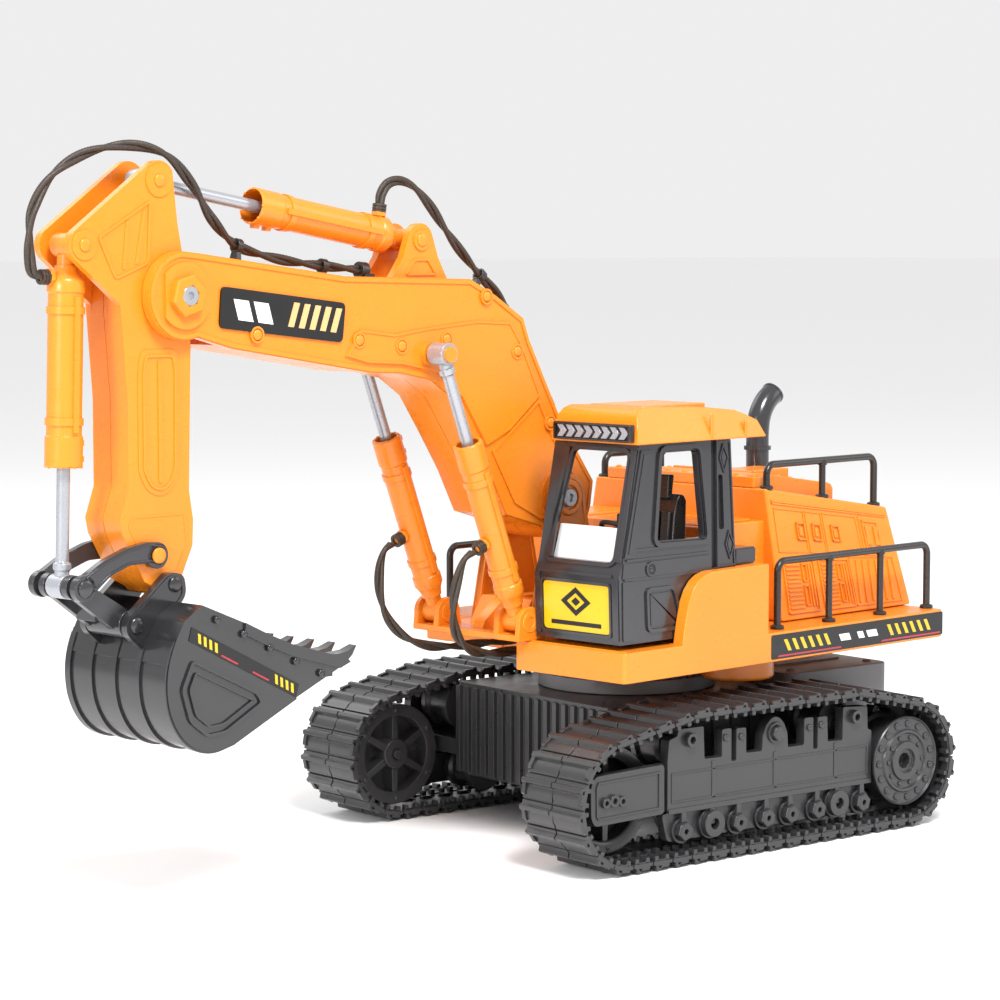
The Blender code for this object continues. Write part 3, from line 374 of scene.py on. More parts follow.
def smooth_route(points, steps):
    """A Catmull-Rom curve through the route's points."""
    ends = [Vector(p) for p in points]
    ends = [ends[0] * 2 - ends[1]] + ends + [ends[-1] * 2 - ends[-2]]
    route = []
    for i in range(1, len(ends) - 2):
        p0, p1, p2, p3 = ends[i - 1:i + 3]
        for k in range(steps):
            t = k / steps
            route.append(0.5 * ((2 * p1) + (p2 - p0) * t + (2 * p0 - 5 * p1 + 4 * p2 - p3) * t * t
                                + (3 * p1 - p0 - 3 * p2 + p3) * t ** 3))
    route.append(ends[-2])
    return route


def mirrored(span):
    """A span of Y on the other side of the arm's centre plane."""
    return 2 * ARM_Y - span[1], 2 * ARM_Y - span[0]


# ---------------------------------------------------------------- objects

def as_mesh(name, shapes, space):
    joined = bmesh.new()
    for shape in shapes:
        part = bpy.data.meshes.new("part")
        shape.to_mesh(part)
        shape.free()
        joined.from_mesh(part)
        bpy.data.meshes.remove(part)
    bmesh.ops.transform(joined, matrix=space, verts=joined.verts)
    mesh = bpy.data.meshes.new(name)
    joined.to_mesh(mesh)
    joined.free()
    return mesh


def carve(name, solid, cuts, space):
    """The mesh of a solid after each cut is taken out of it."""
    body = bpy.data.objects.new(name, as_mesh(name, [solid], space))
    bpy.context.collection.objects.link(body)
    tools = []
    for cut in cuts:
        tool = bpy.data.objects.new("cut", as_mesh("cut", [cut], space))
        bpy.context.collection.objects.link(tool)
        modifier = body.modifiers.new("cut", "BOOLEAN")
        modifier.operation = "DIFFERENCE"
        modifier.solver = "EXACT"
        modifier.object = tool
        tools.append(tool)
    depsgraph = bpy.context.evaluated_depsgraph_get()
    mesh = bpy.data.meshes.new_from_object(body.evaluated_get(depsgraph))
    for tool in tools + [body]:
        old = tool.data
        bpy.data.objects.remove(tool, do_unlink=True)
        bpy.data.meshes.remove(old)
    return mesh


def piece(name, shapes, finish, body, space=HOUSE, replaces=(), edge=0.3, cuts=()):
    """A visible piece. Cuts are taken out of the first shape, and the other shapes are joined on after.

    Its edges are eased by the edge width in millimetres, and an edge of 0 keeps them sharp.
    """
    made = as_mesh(name, shapes[1:] if cuts else shapes, space)
    if cuts:
        joined = bmesh.new()
        for part in (carve(name, shapes[0], cuts, space), made):
            joined.from_mesh(part)
            bpy.data.meshes.remove(part)
        made = bpy.data.meshes.new(name)
        joined.to_mesh(made)
        joined.free()
    made.name = name
    obj = bpy.data.objects.new(name, made)
    bpy.context.collection.objects.link(obj)
    made.materials.clear()
    made.materials.append(finish)
    made.shade_smooth()
    if edge:
        bevel = obj.modifiers.new("edges", "BEVEL")
        bevel.width = edge * MM
        bevel.segments = 2
        bevel.limit_method = "ANGLE"
        bevel.angle_limit = SHARP
        bevel.harden_normals = True
    else:
        made.set_sharp_from_angle(angle=SHARP)
    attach(obj, body)
    if replaces:
        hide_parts(*replaces)
    return obj


# ---------------------------------------------------------------- hoses

HOSE_R = 2.1
STRAND_R = 0.54 * HOSE_R
TWIST_PITCH = 46.0
RIB_HEIGHT = 0.09


def strand(route, phase):
    """One of the two thin ribbed hoses that wind round the route."""
    path = []
    up = Vector((0, 1, 0))
    done = 0.0
    for i, point in enumerate(route):
        along = (route[min(i + 1, len(route) - 1)] - route[max(i - 1, 0)]).normalized()
        up = (up - along * up.dot(along)).normalized()
        side = along.cross(up)
        if i:
            done += (point - route[i - 1]).length
        turn = phase + 2 * math.pi * done / TWIST_PITCH
        path.append(point + (HOSE_R - STRAND_R) * (up * math.cos(turn) + side * math.sin(turn)))
    dense = smooth_route(path, 4)
    return sweep(dense, [STRAND_R * (1.0 + RIB_HEIGHT * (k % 2)) for k in range(len(dense))], 10)


def twisted_hose(name, points):
    """Two thin hoses twisted round each other along a route."""
    route = smooth_route(points, 8)
    made = as_mesh(f"{name}_pair", [strand(route, phase) for phase in (0.0, math.pi)], HOUSE)
    obj = bpy.data.objects.new(f"{name}_pair", made)
    bpy.context.collection.objects.link(obj)
    made.materials.append(HOSE)
    made.shade_smooth()
    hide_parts(name)
    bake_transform(obj)


def hoses():
    left = [(114.2, 19.3, 127.6), (119.0, 19.0, 124.5), (122.0, 18.4, 117.0), (123.0, 17.0, 107.0),
            (120.5, 15.0, 97.0), (113.5, 12.5, 89.0), (103.0, 10.5, 84.5), (90.0, 9.0, 82.8),
            (74.0, 8.0, 82.6), (60.0, 7.6, 82.6), (44.6, 7.4, 82.6)]
    right = [(x, 2 * ARM_Y - y, z) for x, y, z in left]
    for side, points in (("left", left), ("right", right)):
        twisted_hose(f"{side}_boom_hose", points)
    stick_hose = [(142.9, ARM_Y, 268.9), (142.0, ARM_Y, 273.4), (138.2, ARM_Y, 277.6),
                  (131.5, ARM_Y, 278.8), (123.5, ARM_Y, 276.0), (115.0, ARM_Y, 269.0),
                  (107.0, ARM_Y, 260.0), (97.0, ARM_Y, 250.0), (86.0, ARM_Y, 240.0), (75.0, ARM_Y, 231.5),
                  (66.0, ARM_Y, 220.0), (57.0, ARM_Y, 204.0), (45.5, ARM_Y, 184.0)]
    twisted_hose("stick_hose", stick_hose)
    beside = ARM_Y + 6.6
    bucket_hose = [(312.5, ARM_Y, 241.4), (315.6, ARM_Y, 243.2), (316.6, ARM_Y, 247.8),
                   (316.8, ARM_Y, 255.0), (315.0, ARM_Y, 266.0), (306.0, ARM_Y, 278.5),
                   (290.0, ARM_Y, 287.0), (272.0, ARM_Y + 3.0, 290.0),
                   (258.0, beside, 286.5), (246.0, beside, 276.0), (235.0, ARM_Y + 5.0, 263.0),
                   (219.0, ARM_Y + 1.0, 252.6), (196.0, ARM_Y, 247.2), (170.0, ARM_Y, 244.2),
                   (151.0, ARM_Y, 242.6)]
    twisted_hose("bucket_hose", bucket_hose)


# ---------------------------------------------------------------- undercarriage

WHEEL_Z = 28.5
SPROCKET_X = -81.5
IDLER_X = 80.5
BELT_R = 22.8
BAND = 3.4
SHOES = 46
BELT_Y = (57.7, 95.2)
CARRIERS = ((42.0, 46.9), (-50.0, 46.9))
ROADS = ((30.4, 15.8), (-43.0, 15.8))


def belt_path():
    """Straights and arcs of the belt's outer face round its four wheels."""
    wheels = [(IDLER_X, WHEEL_Z, BELT_R), (*CARRIERS[0], 11.5), (*CARRIERS[1], 11.5),
              (SPROCKET_X, WHEEL_Z, BELT_R)]
    angles = []
    for i, (x1, z1, r1) in enumerate(wheels):
        x2, z2, r2 = wheels[(i + 1) % 4]
        length = math.hypot(x2 - x1, z2 - z1)
        angles.append(math.atan2(z2 - z1, x2 - x1) - math.acos((r1 - r2) / length))
    runs = []
    for i, (x, z, r) in enumerate(wheels):
        first, last = angles[i - 1], angles[i]
        while last < first - 1e-9:
            last += 2 * math.pi
        runs.append(("arc", Vector((x, z)), r + BAND, first, last))
        x2, z2, r2 = wheels[(i + 1) % 4]
        normal = Vector((math.cos(last), math.sin(last)))
        runs.append(("line", Vector((x, z)) + normal * (r + BAND), Vector((x2, z2)) + normal * (r2 + BAND),
                     normal))
    return runs


def belt_places(count):
    """Point and outward normal for evenly spaced shoes, and their spacing."""
    runs = belt_path()
    lengths = [run[2] * (run[4] - run[3]) if run[0] == "arc" else (run[2] - run[1]).length for run in runs]
    total = sum(lengths)
    places = []
    for i in range(count):
        left = (i + 0.425) / count * total
        for run, length in zip(runs, lengths):
            if left <= length or run is runs[-1]:
                break
            left -= length
        if run[0] == "arc":
            turn = run[3] + left / run[2]
            normal = Vector((math.cos(turn), math.sin(turn)))
            places.append((run[1] + normal * run[2], normal))
        else:
            places.append((run[1].lerp(run[2], left / length), run[3]))
    return places, total / count


def shoe_shapes(pitch, sign):
    """One shoe in its own frame: X along the belt, Y across it, Z outward from the belt's outer face."""
    low, high = BELT_Y
    middle = (low + high) / 2
    half = pitch * 0.47
    shapes = []
    for a, b in ((low, middle - 0.35), (middle + 0.35, high)):
        profile = [(-half, -1.5), (half, -1.5), (half, -0.1), (0.33 * pitch, 0.0), (0.22 * pitch, 0.5),
                   (-0.05 * pitch, 0.35), (-0.14 * pitch, 2.25), (-0.30 * pitch, 2.3),
                   (-0.36 * pitch, 0.3), (-half, 0.0)]
        shapes.append(plate(profile, a, b))
        end = (a, a + 2.2) if a == low else (b - 2.2, b)
        shapes.append(plate([(-0.30 * pitch, 0.2), (0.36 * pitch, 0.2), (0.30 * pitch, 1.25),
                             (-0.20 * pitch, 1.5)], *end))
    shapes.append(block((-half * 0.5, middle - 1.4, -2.4), (half * 0.5, middle + 1.4, 0.2)))
    for y0, y1 in ((58.6, 61.2), (81.0, 83.4), (90.3, 94.6)):
        for u in (-0.27, 0.27):
            shapes.append(plate([((u - 0.11) * pitch, -1.3), ((u + 0.11) * pitch, -1.3),
                                 ((u + 0.08) * pitch, -3.6), ((u - 0.08) * pitch, -3.6)], y0, y1))
        shapes.append(plate([(-0.27 * pitch, -1.3), (0.27 * pitch, -1.3), (0.27 * pitch, -2.0),
                             (-0.27 * pitch, -2.0)], y0, y1))
    if sign < 0:
        for shape in shapes:
            for vert in shape.verts:
                vert.co.y *= -1
            bmesh.ops.reverse_faces(shape, faces=shape.faces)
    return shapes


def belt_band(sign):
    """The thin closed loop that the shoes stand on."""
    places = belt_places(4 * SHOES)[0]
    low, high = span_of(sign, BELT_Y[0] + 0.6, BELT_Y[1] - 0.6)
    loops = []
    for depth, y in ((0.5, low), (0.5, high), (1.4, high), (1.4, low)):
        points = [point - normal * depth for point, normal in places]
        loops.append([(p.x, y, p.y) for p in points])
    return skin(loops, ring=True)


def track_belt(side, sign):
    places, pitch = belt_places(SHOES)
    shapes = []
    for point, normal in places:
        along = Vector((normal.y, 0.0, -normal.x))
        outward = Vector((normal.x, 0.0, normal.y))
        frame_of = Matrix.Identity(4)
        for row in range(3):
            frame_of[row][0] = along[row]
            frame_of[row][1] = (0.0, 1.0, 0.0)[row]
            frame_of[row][2] = outward[row]
            frame_of[row][3] = (point.x, 0.0, point.y)[row]
        for shape in shoe_shapes(pitch, sign):
            bmesh.ops.transform(shape, matrix=frame_of, verts=shape.verts)
            shapes.append(shape)
    shapes.append(belt_band(sign))
    piece(f"{side}_track_shoes", shapes, GREY, "undercarriage", BASE, (f"{side}_track_belt",), edge=0.22)


def span_of(sign, low, high):
    return tuple(sorted((sign * low, sign * high)))


def hex_boss(x, z, radius, low, high, sign, bore=0.0):
    toward = (x, sign, z)
    profile = [(bore, low), (radius, low), (radius, high - 0.5), (radius - 0.5, high), (bore, high)]
    if bore == 0.0:
        profile += [(0.0, high)]
    return turned(profile, (x, 0, z), toward, 6)


BORED_BOSSES = (31.0, -42.0)


def track_frame(side, sign):
    def span(low, high):
        return span_of(sign, low, high)

    upper = [(56.0, 22.0), (56.0, 43.0), (55.2, 51.5), (50.8, 52.6), (50.0, 55.4), (36.0, 55.4),
             (35.4, 41.6), (25.6, 41.4), (25.6, 53.0), (20.2, 53.0), (20.2, 39.0), (17.4, 39.0),
             (17.4, 52.6), (11.8, 52.4), (11.7, 41.6), (2.6, 41.4), (2.2, 47.6), (0.2, 52.0),
             (-2.4, 54.6), (-5.0, 55.4), (-7.6, 54.6), (-10.2, 52.0), (-12.2, 47.6), (-12.6, 41.4),
             (-22.1, 41.4), (-22.1, 52.9), (-27.6, 52.8), (-27.6, 39.0), (-30.2, 39.0), (-30.2, 52.6),
             (-35.9, 52.4), (-36.3, 41.4), (-45.2, 41.0), (-45.4, 55.4), (-60.2, 54.4), (-60.6, 44.4),
             (-63.0, 43.6), (-63.0, 22.0), (-58.0, 20.4), (52.0, 20.4)]
    shapes = [plate(rounded(upper, 0.8, 2), *span(84.0, 89.0), axis="Y")]
    lower = [(54.0, 8.6), (57.0, 20.0), (50.0, 22.0), (-56.0, 22.0), (-62.0, 19.0), (-58.0, 8.6)]
    shapes.append(plate(rounded(lower, 2.0), *span(82.5, 86.6)))
    shapes.append(block((-62.6, span(88.7, 89.5)[0], 20.6), (55.6, span(88.7, 89.5)[1], 22.8)))
    shapes.append(rim([(54.0, 25.0), (54.0, 37.6), (-60.6, 37.6), (-60.6, 25.0)], 0.9, *span(88.8, 89.4)))
    low, high = span(88.6, 89.4)
    shapes += [block((x - 1.0, low, 25.0), (x + 1.0, high, 40.5)) for x in (-40.8, -4.8, 30.5)]
    for x, z in ((44.0, 50.5), (-52.0, 50.5)):
        shapes.append(ring((x, z), 1.5, 3.0, *span(88.6, 91.4), steps=28))
    for x, z in ((23.8, 49.3), (14.7, 48.7), (-25.0, 48.5), (-32.0, 49.0)):
        shapes.append(dome(*beside(x, sign * 89.0, z, sign), 1.5, 1.3))
    shapes.append(hex_boss(-5.0, 48.4, 3.4, 88.6, 92.0, sign))
    shapes.append(ring((-5.0, 48.4), 3.3, 4.6, *span(88.6, 90.0), steps=28))
    for x in (47.0, 31.0, 16.0, 0.0, -14.0, -30.0, -42.0, -57.0):
        if x in BORED_BOSSES:
            shapes.append(ring((x, 14.2), 2.3, 5.6, *span(83.0, 91.0), steps=28))
            shapes.append(ring((x, 14.2), 5.4, 6.6, *span(83.0, 88.4), steps=28))
        else:
            shapes.append(hex_boss(x, 12.8, 4.2, 84.0, 91.0, sign, bore=1.2))
            shapes.append(ring((x, 12.8), 4.0, 5.4, *span(84.0, 88.0), steps=24))
        shapes.append(block((x - 1.3, span(84.0, 89.4)[0], 14.0), (x + 1.3, span(84.0, 89.4)[1], 21.5)))
    arm = [(58.6, 21.5), (96.0, 20.5), (98.0, 24.0), (98.2, 37.0), (96.0, 41.0), (58.6, 42.0)]
    shapes.append(plate(rounded(arm, 2.0), *span(85.6, 90.0)))
    shapes.append(rim(inset(arm, 2.5), 0.9, *span(89.7, 90.6)))
    for x, z, radius in ((86.5, 30.2, 2.6), (90.9, 29.8, 2.2), (82.1, 29.6, 2.2)):
        shapes.append(ring((x, z), radius * 0.45, radius, *span(89.6, 91.6), steps=20))
    shapes.append(block((55.0, span(84.2, 86.4)[0], 21.5), (60.0, span(84.2, 86.4)[1], 41.6)))
    shapes.append(block((-57.0, span(51.3, 84.5)[0], 27.0), (55.0, span(51.3, 84.5)[1], 34.0)))
    for x, z in (*CARRIERS, *ROADS, (IDLER_X, WHEEL_Z)):
        shapes.append(disc((x, z), 2.0, *span(60.5, 86.5), steps=24))
    piece(f"{side}_track_frame_plate", shapes, GREY, "undercarriage", BASE, (f"{side}_track_frame",),
          edge=0.25)


TOOTH = ((18.6, -6.0), (20.6, -4.6), (22.2, -1.8), (22.2, 1.8), (20.6, 4.6), (18.6, 6.0))


def wheels(side, sign):
    """A side's sprocket, idler and rollers."""
    def toward(x, z):
        return (x, 0, z), (x, sign, z)

    hub = [(0, 47.2), (3.0, 47.2), (3.0, 58.0), (7.0, 58.0), (7.0, 66.0), (19.4, 66.0), (19.4, 76.0),
           (17.6, 76.8), (17.6, 90.2), (19.2, 90.2), (19.6, 90.8), (19.6, 91.6), (19.0, 92.2),
           (18.4, 91.2), (14.0, 91.2), (13.4, 92.2), (12.4, 92.2), (11.8, 91.2), (8.8, 91.2), (8.4, 92.4),
           (5.4, 92.4), (5.0, 91.0), (3.4, 91.0), (3.0, 87.0), (0, 87.0)]
    shapes = [turned(hub, *toward(SPROCKET_X, WHEEL_Z), 60)]
    for i in range(12):
        tooth = [(SPROCKET_X + r * math.cos(math.radians(30 * i + t)),
                  WHEEL_Z + r * math.sin(math.radians(30 * i + t))) for r, t in TOOTH]
        shapes.append(plate(tooth, *span_of(sign, 68.5, 73.5)))
    for count, radius, size in ((15, 16.2, 1.6), (10, 10.3, 1.0)):
        for i in range(count):
            turn = 2 * math.pi * i / count
            x = SPROCKET_X + radius * math.cos(turn)
            z = WHEEL_Z + radius * math.sin(turn)
            shapes.append(dome(*beside(x, sign * 91.2, z, sign), size, 1.0, 14))
    piece(f"{side}_sprocket_wheel", shapes, GREY, f"{side}_sprocket", BASE, (f"{side}_sprocket",), edge=0.2)

    rim_profile = [(17.0, 62.4), (18.4, 62), (22.2, 62), (22.2, 80), (18.6, 80), (17.0, 78.8)]
    hub_profile = [(2.35, 62), (6.2, 62), (6.8, 63), (6.8, 78.6), (6.2, 79.4), (2.35, 79.4)]
    shapes = [turned(rim_profile, *toward(IDLER_X, WHEEL_Z), 60),
              turned(hub_profile, *toward(IDLER_X, WHEEL_Z), 40),
              turned([(6.5, 70.0), (17.3, 70.0), (17.3, 72.0), (6.5, 72.0)], *toward(IDLER_X, WHEEL_Z), 60)]
    for i in range(6):
        turn = math.radians(60 * i + 30)
        out = Vector((math.cos(turn), math.sin(turn)))
        wide = Vector((-out.y, out.x)) * 1.3
        centre = Vector((IDLER_X, WHEEL_Z))
        root = wide * 1.3
        spoke = [centre + out * 6 + root, centre + out * 17.6 + wide, centre + out * 17.6 - wide,
                 centre + out * 6 - root]
        shapes.append(plate([tuple(p) for p in spoke], *span_of(sign, 63.0, 78.4)))
        x, z = centre + out * 19.8
        for y, aim in ((79.8, sign), (62.2, -sign)):
            shapes.append(dome(*beside(x, sign * y, z, aim), 1.1, 0.7, 12))
    piece(f"{side}_idler_wheel", shapes, GREY, f"{side}_idler", BASE, (f"{side}_idler",), edge=0.25)
    for kind, centres, radius in (("carrier", CARRIERS, 10.9), ("road", ROADS, 9.4)):
        for end, (x, z) in zip(("front", "rear"), centres):
            name = f"{side}_{end}_{kind}_roller"
            profile = [(2.35, 62), (radius, 62), (radius, 65), (radius - 1.6, 66.4), (radius - 1.6, 75.6),
                       (radius, 77), (radius, 80), (radius - 2.4, 80), (radius - 3, 79), (4.4, 79),
                       (4.0, 80), (2.35, 80)]
            piece(f"{name}_wheel", [turned(profile, *toward(x, z), 36)], GREY, name, BASE, (name,), edge=0.2)


CHASSIS_HALF = 51.0


def chassis():
    """The box between the tracks, with a ribbed front wall."""
    half = CHASSIS_HALF
    ribs = 17
    pitch = 2 * half / ribs
    outline = [(-49.7, half), (-49.7, -half)]
    for i in range(ribs):
        y = -half + i * pitch
        outline += [(56.0, y + 0.05 * pitch), (56.0, y + 0.50 * pitch), (54.4, y + 0.58 * pitch),
                    (54.4, y + 0.95 * pitch)]
    outline[-2:] = [(56.0, half - 0.2), (55.8, half)]
    shell = plate(outline, 20.0, 58.4, axis="Z")
    top = plate(rounded([(-49.7, -half), (55.0, -half), (55.0, half), (-49.7, half)], 3.0), 58.0, 60.0,
                axis="Z")
    trims = [block((-40.0, sign * half - 0.8, 24.0), (46.0, sign * half + 0.8, 27.0)) for sign in (-1, 1)]
    for i in range(9):
        for sign in (-1, 1):
            x = -42.0 + i * 11.0
            trims.append(block((x, sign * half - 0.7, 36.0), (x + 5.0, sign * half + 0.7, 57.0)))
    room = block((-47.3, -48.6, 19.0), (52.0, 48.6, 57.6))
    piece("chassis_box", [shell, top, *trims], GREY, "undercarriage", BASE, ("chassis",), edge=0.25,
          cuts=[room])


def casings():
    """Rear drive housing, the two bottom covers, the battery and the drive gearboxes."""
    housing = slab((-113.0, -CHASSIS_HALF, 20.0), (-50.0, CHASSIS_HALF, 65.0), 5.0)
    hollow = block((-110.6, -48.6, 19.0), (-52.4, 48.6, 62.6))
    shafts = bar((SPROCKET_X, -60, WHEEL_Z), (SPROCKET_X, 60, WHEEL_Z), 3.8, 32)
    piece("drive_housing_shell", [housing], PALE, "undercarriage", BASE, ("drive_housing",), edge=1.0,
          cuts=[hollow, shafts])
    for name, x0, x1, top_z in (("battery_cover", -46.9, 51.6, 21.0), ("drive_cover", -110.2, -52.8, 20.8)):
        piece(f"{name}_plate", [slab((x0, -48.2, 18.0), (x1, 48.2, top_z), 2.5)], GREY, "undercarriage", BASE,
              (name,), edge=0.6)
    cells = [slab((-28.0, -31.0, 21.4), (28.0, 31.0, 34.0), 3.0)]
    cells += [slab((-27.0, y, 33.0), (27.0, y + 13.0, 37.0), 3.0) for y in (-30.0, -14.0, 1.0, 17.0)]
    piece("battery_cells", cells, BLACK, "undercarriage", BASE, ("battery_pack",), edge=0.8)
    for side, sign in (("left", 1), ("right", -1)):
        near, far = span_of(sign, 14.0, 46.8)
        gears = slab((SPROCKET_X - 12.0, near, 21.4), (SPROCKET_X + 12.0, far, 50.0), 2.0)
        motor = [bar((SPROCKET_X + x0, sign * 30.0, 38.0), (SPROCKET_X + x1, sign * 30.0, 38.0),
                     radius, steps)
                 for x0, x1, radius, steps in ((11.0, 27.0, 10.0, 36), (26.0, 27.6, 4.0, 28))]
        piece(f"{side}_gear_case", [gears, *motor], PALE, "undercarriage", BASE,
              (f"{side}_drive_gearbox",), edge=0.6)
    bolts = [dome(*above(x, y, 65.0), 2.0, 1.0) for x in (-106.0, -58.0) for y in (-44.0, 44.0)]
    bolts += [plate(rounded([(-104, -30), (-62, -30), (-62, 30), (-104, 30)], 3.0), 64.8, 65.7, axis="Z")]
    piece("drive_housing_trim", bolts, PALE, "undercarriage", BASE, edge=0.2)
    covers = []
    z = 18.0
    for x0, x1 in ((-45.0, 50.0), (-108.0, -55.0)):
        covers += [dome((x, y, z), (x, y, z - 1), 2.0, 0.8) for x in (x0 + 5, x1 - 5) for y in (-42, 42)]
        covers.append(rim([(x0 + 12, -34), (x1 - 12, -34), (x1 - 12, 34), (x0 + 12, 34)], 1.4, z - 0.7,
                          z + 0.3, "Z"))
    piece("underside_trim", covers, GREY, "undercarriage", BASE, edge=0.2)


def slew_ring():
    profile = [(30.0, 60.3), (39.0, 60.3), (39.0, 61.0), (38.2, 66.0), (35.0, 66.0), (35.0, 75.4),
               (36.4, 75.6), (36.4, 76.1), (30.0, 76.1)]
    shapes = [turned(profile, *above(0, 0, 0), 72)]
    for i in range(48):
        turn = 2 * math.pi * i / 48
        shape = block((34.4, -0.9, 65.4), (36.5, 0.9, 75.6))
        bmesh.ops.rotate(shape, matrix=Matrix.Rotation(turn, 3, "Z"), verts=shape.verts)
        shapes.append(shape)
    for i in range(12):
        turn = 2 * math.pi * i / 12
        x, y = 37.4 * math.cos(turn), 37.4 * math.sin(turn)
        shapes.append(dome(*above(x, y, 65.9), 1.0, 0.7, 12))
    piece("slew_ring_gear", shapes, PALE, "undercarriage", BASE, ("slew_ring",), edge=0.15)


# ---------------------------------------------------------------- house

DECK_TOP = 89.0
DECK_SIDE = 80.3


def slashes(x0, x1, z0, z1, y, count, lean):
    """Slanted bars side by side on a side face."""
    step = (x1 - x0) / count
    shapes = []
    for i in range(count):
        a = x0 + i * step
        b = a + step * 0.42
        shapes.append(plate([(a, z0), (b, z0), (b + lean, z1), (a + lean, z1)], y - 0.12, y + 0.12))
    return shapes


def deck():
    """The deck plate with its slew spigot, and the fender on its left."""
    left = DECK_SIDE
    outline = [(88.4, left), (-123.4, left), (-123.4, -left), (46.0, -left), (46.0, -32.0), (44.0, -32.0),
               (44.0, 18.0), (88.4, 18.0)]
    outline = rounded(outline, 2.0)
    shell = plate(outline, 76.5, DECK_TOP, axis="Z")
    pockets = [block((x0, y0, 75.0), (x1, y1, 86.0)) for x0, x1, y0, y1 in (
        (-120.4, -35.0, -77.3, 77.3), (-32.0, 85.4, 36.0, 77.3), (-32.0, 41.0, -77.3, -36.0))]
    spigot = turned([(20.0, 58.5), (23.6, 58.5), (23.6, 62.0), (26.0, 66.0), (29.6, 66.0), (29.6, 78.0),
                     (20.0, 78.0)], *above(0, 0, 0), 64)
    lip = plate(rounded([(87.4, 79.3), (86.0, 79.3), (86.0, 19.0), (87.4, 19.0)], 0.5), 88.6, 89.5, axis="Z")
    piece("deck_shell", [shell, spigot, lip], ORANGE, "house", HOUSE, ("deck",), edge=1.0, cuts=pockets)

    curve = [(-1.5, 88.0), (53.3, 88.0), (51.7, 97.0), (49.4, 106.5)]
    curve += [(46.9, 111.3), (43.6, 114.8), (40.0, 116.9), (35.5, 118.1), (-1.5, 118.7)]
    inner = [(2.0, 86.0), (49.0, 86.0), (46.0, 105.0), (38.0, 113.6), (2.0, 114.6)]
    piece("fender", [plate(curve, 62.0, left)], ORANGE, "house", edge=1.3,
          cuts=[block((12.9, 50.0, 89.2), (95.0, 74.4, 130.0)), plate(inner, 50.0, 74.4)])


def deck_stickers():
    """A dark strip along each side of the deck, with slashes, red lines and pale blocks."""
    strip = []
    yellow = []
    red = []
    pale = []
    for sign in (1, -1):
        rear, front = (-123.0, -3.0) if sign > 0 else (-123.0, 44.0)
        strip.append(plate(rounded([(rear, 77.6), (front, 77.6), (front, 88.0), (rear, 88.0)], 1.0),
                           *span_of(sign, DECK_SIDE - 0.2, DECK_SIDE + 0.16)))
        over = sign * (DECK_SIDE + 0.14)
        for x0, x1 in ((rear + 9, rear + 41), (front - 40, front - 8)):
            yellow += slashes(x0, x1, 80.6, 85.6, over, 6, 3.0)
            red.append(plate([(x0 - 7, 78.4), (x1 + 4, 78.4), (x1 + 3, 79.1), (x0 - 7, 79.1)],
                             over - 0.12, over + 0.12))
        for i, width in enumerate((7.0, 4.0, 7.0)):
            x = (rear + front) / 2 - 13 + i * 9.5
            pale.append(plate([(x, 81.4), (x + width, 81.4), (x + width + 1.6, 84.4), (x + 1.6, 84.4)],
                              over - 0.12, over + 0.12))
    piece("deck_sticker", strip, STICKER_BLACK, "house", edge=0)
    piece("deck_sticker_yellow", yellow, STICKER_YELLOW, "house", edge=0)
    piece("deck_sticker_red", red, STICKER_RED, "house", edge=0)
    piece("deck_sticker_marks", pale, STICKER_PALE, "house", edge=0)


def inner_parts():
    """The slew gearbox under the deck and the circuit board inside the hood."""
    section = [(0, 66.5), (15.0, 66.5), (16.0, 67.5), (16.0, 76.2), (0, 76.2)]
    drum = turned(section, *above(-14.0, 52.0, 0), 48)
    piece("slew_drive_case", [drum, slab((-26.0, 42.0, 70.0), (-6.0, 62.0, 84.6))], ORANGE, "house", HOUSE,
          ("slew_gearbox",), edge=0.5)
    board = [slab((-95.0, -30.0, 91.5), (-50.0, 30.0, 93.2), 1.5)]
    board += [slab((x, y, 93.0), (x + 9.0, y + 7.0, 94.6), 0.6)
              for x in (-88.0, -66.0) for y in (-22.0, 2.0, 16.0)]
    piece("receiver_board", board, BOARD, "house", HOUSE, ("circuit_board",), edge=0.2)


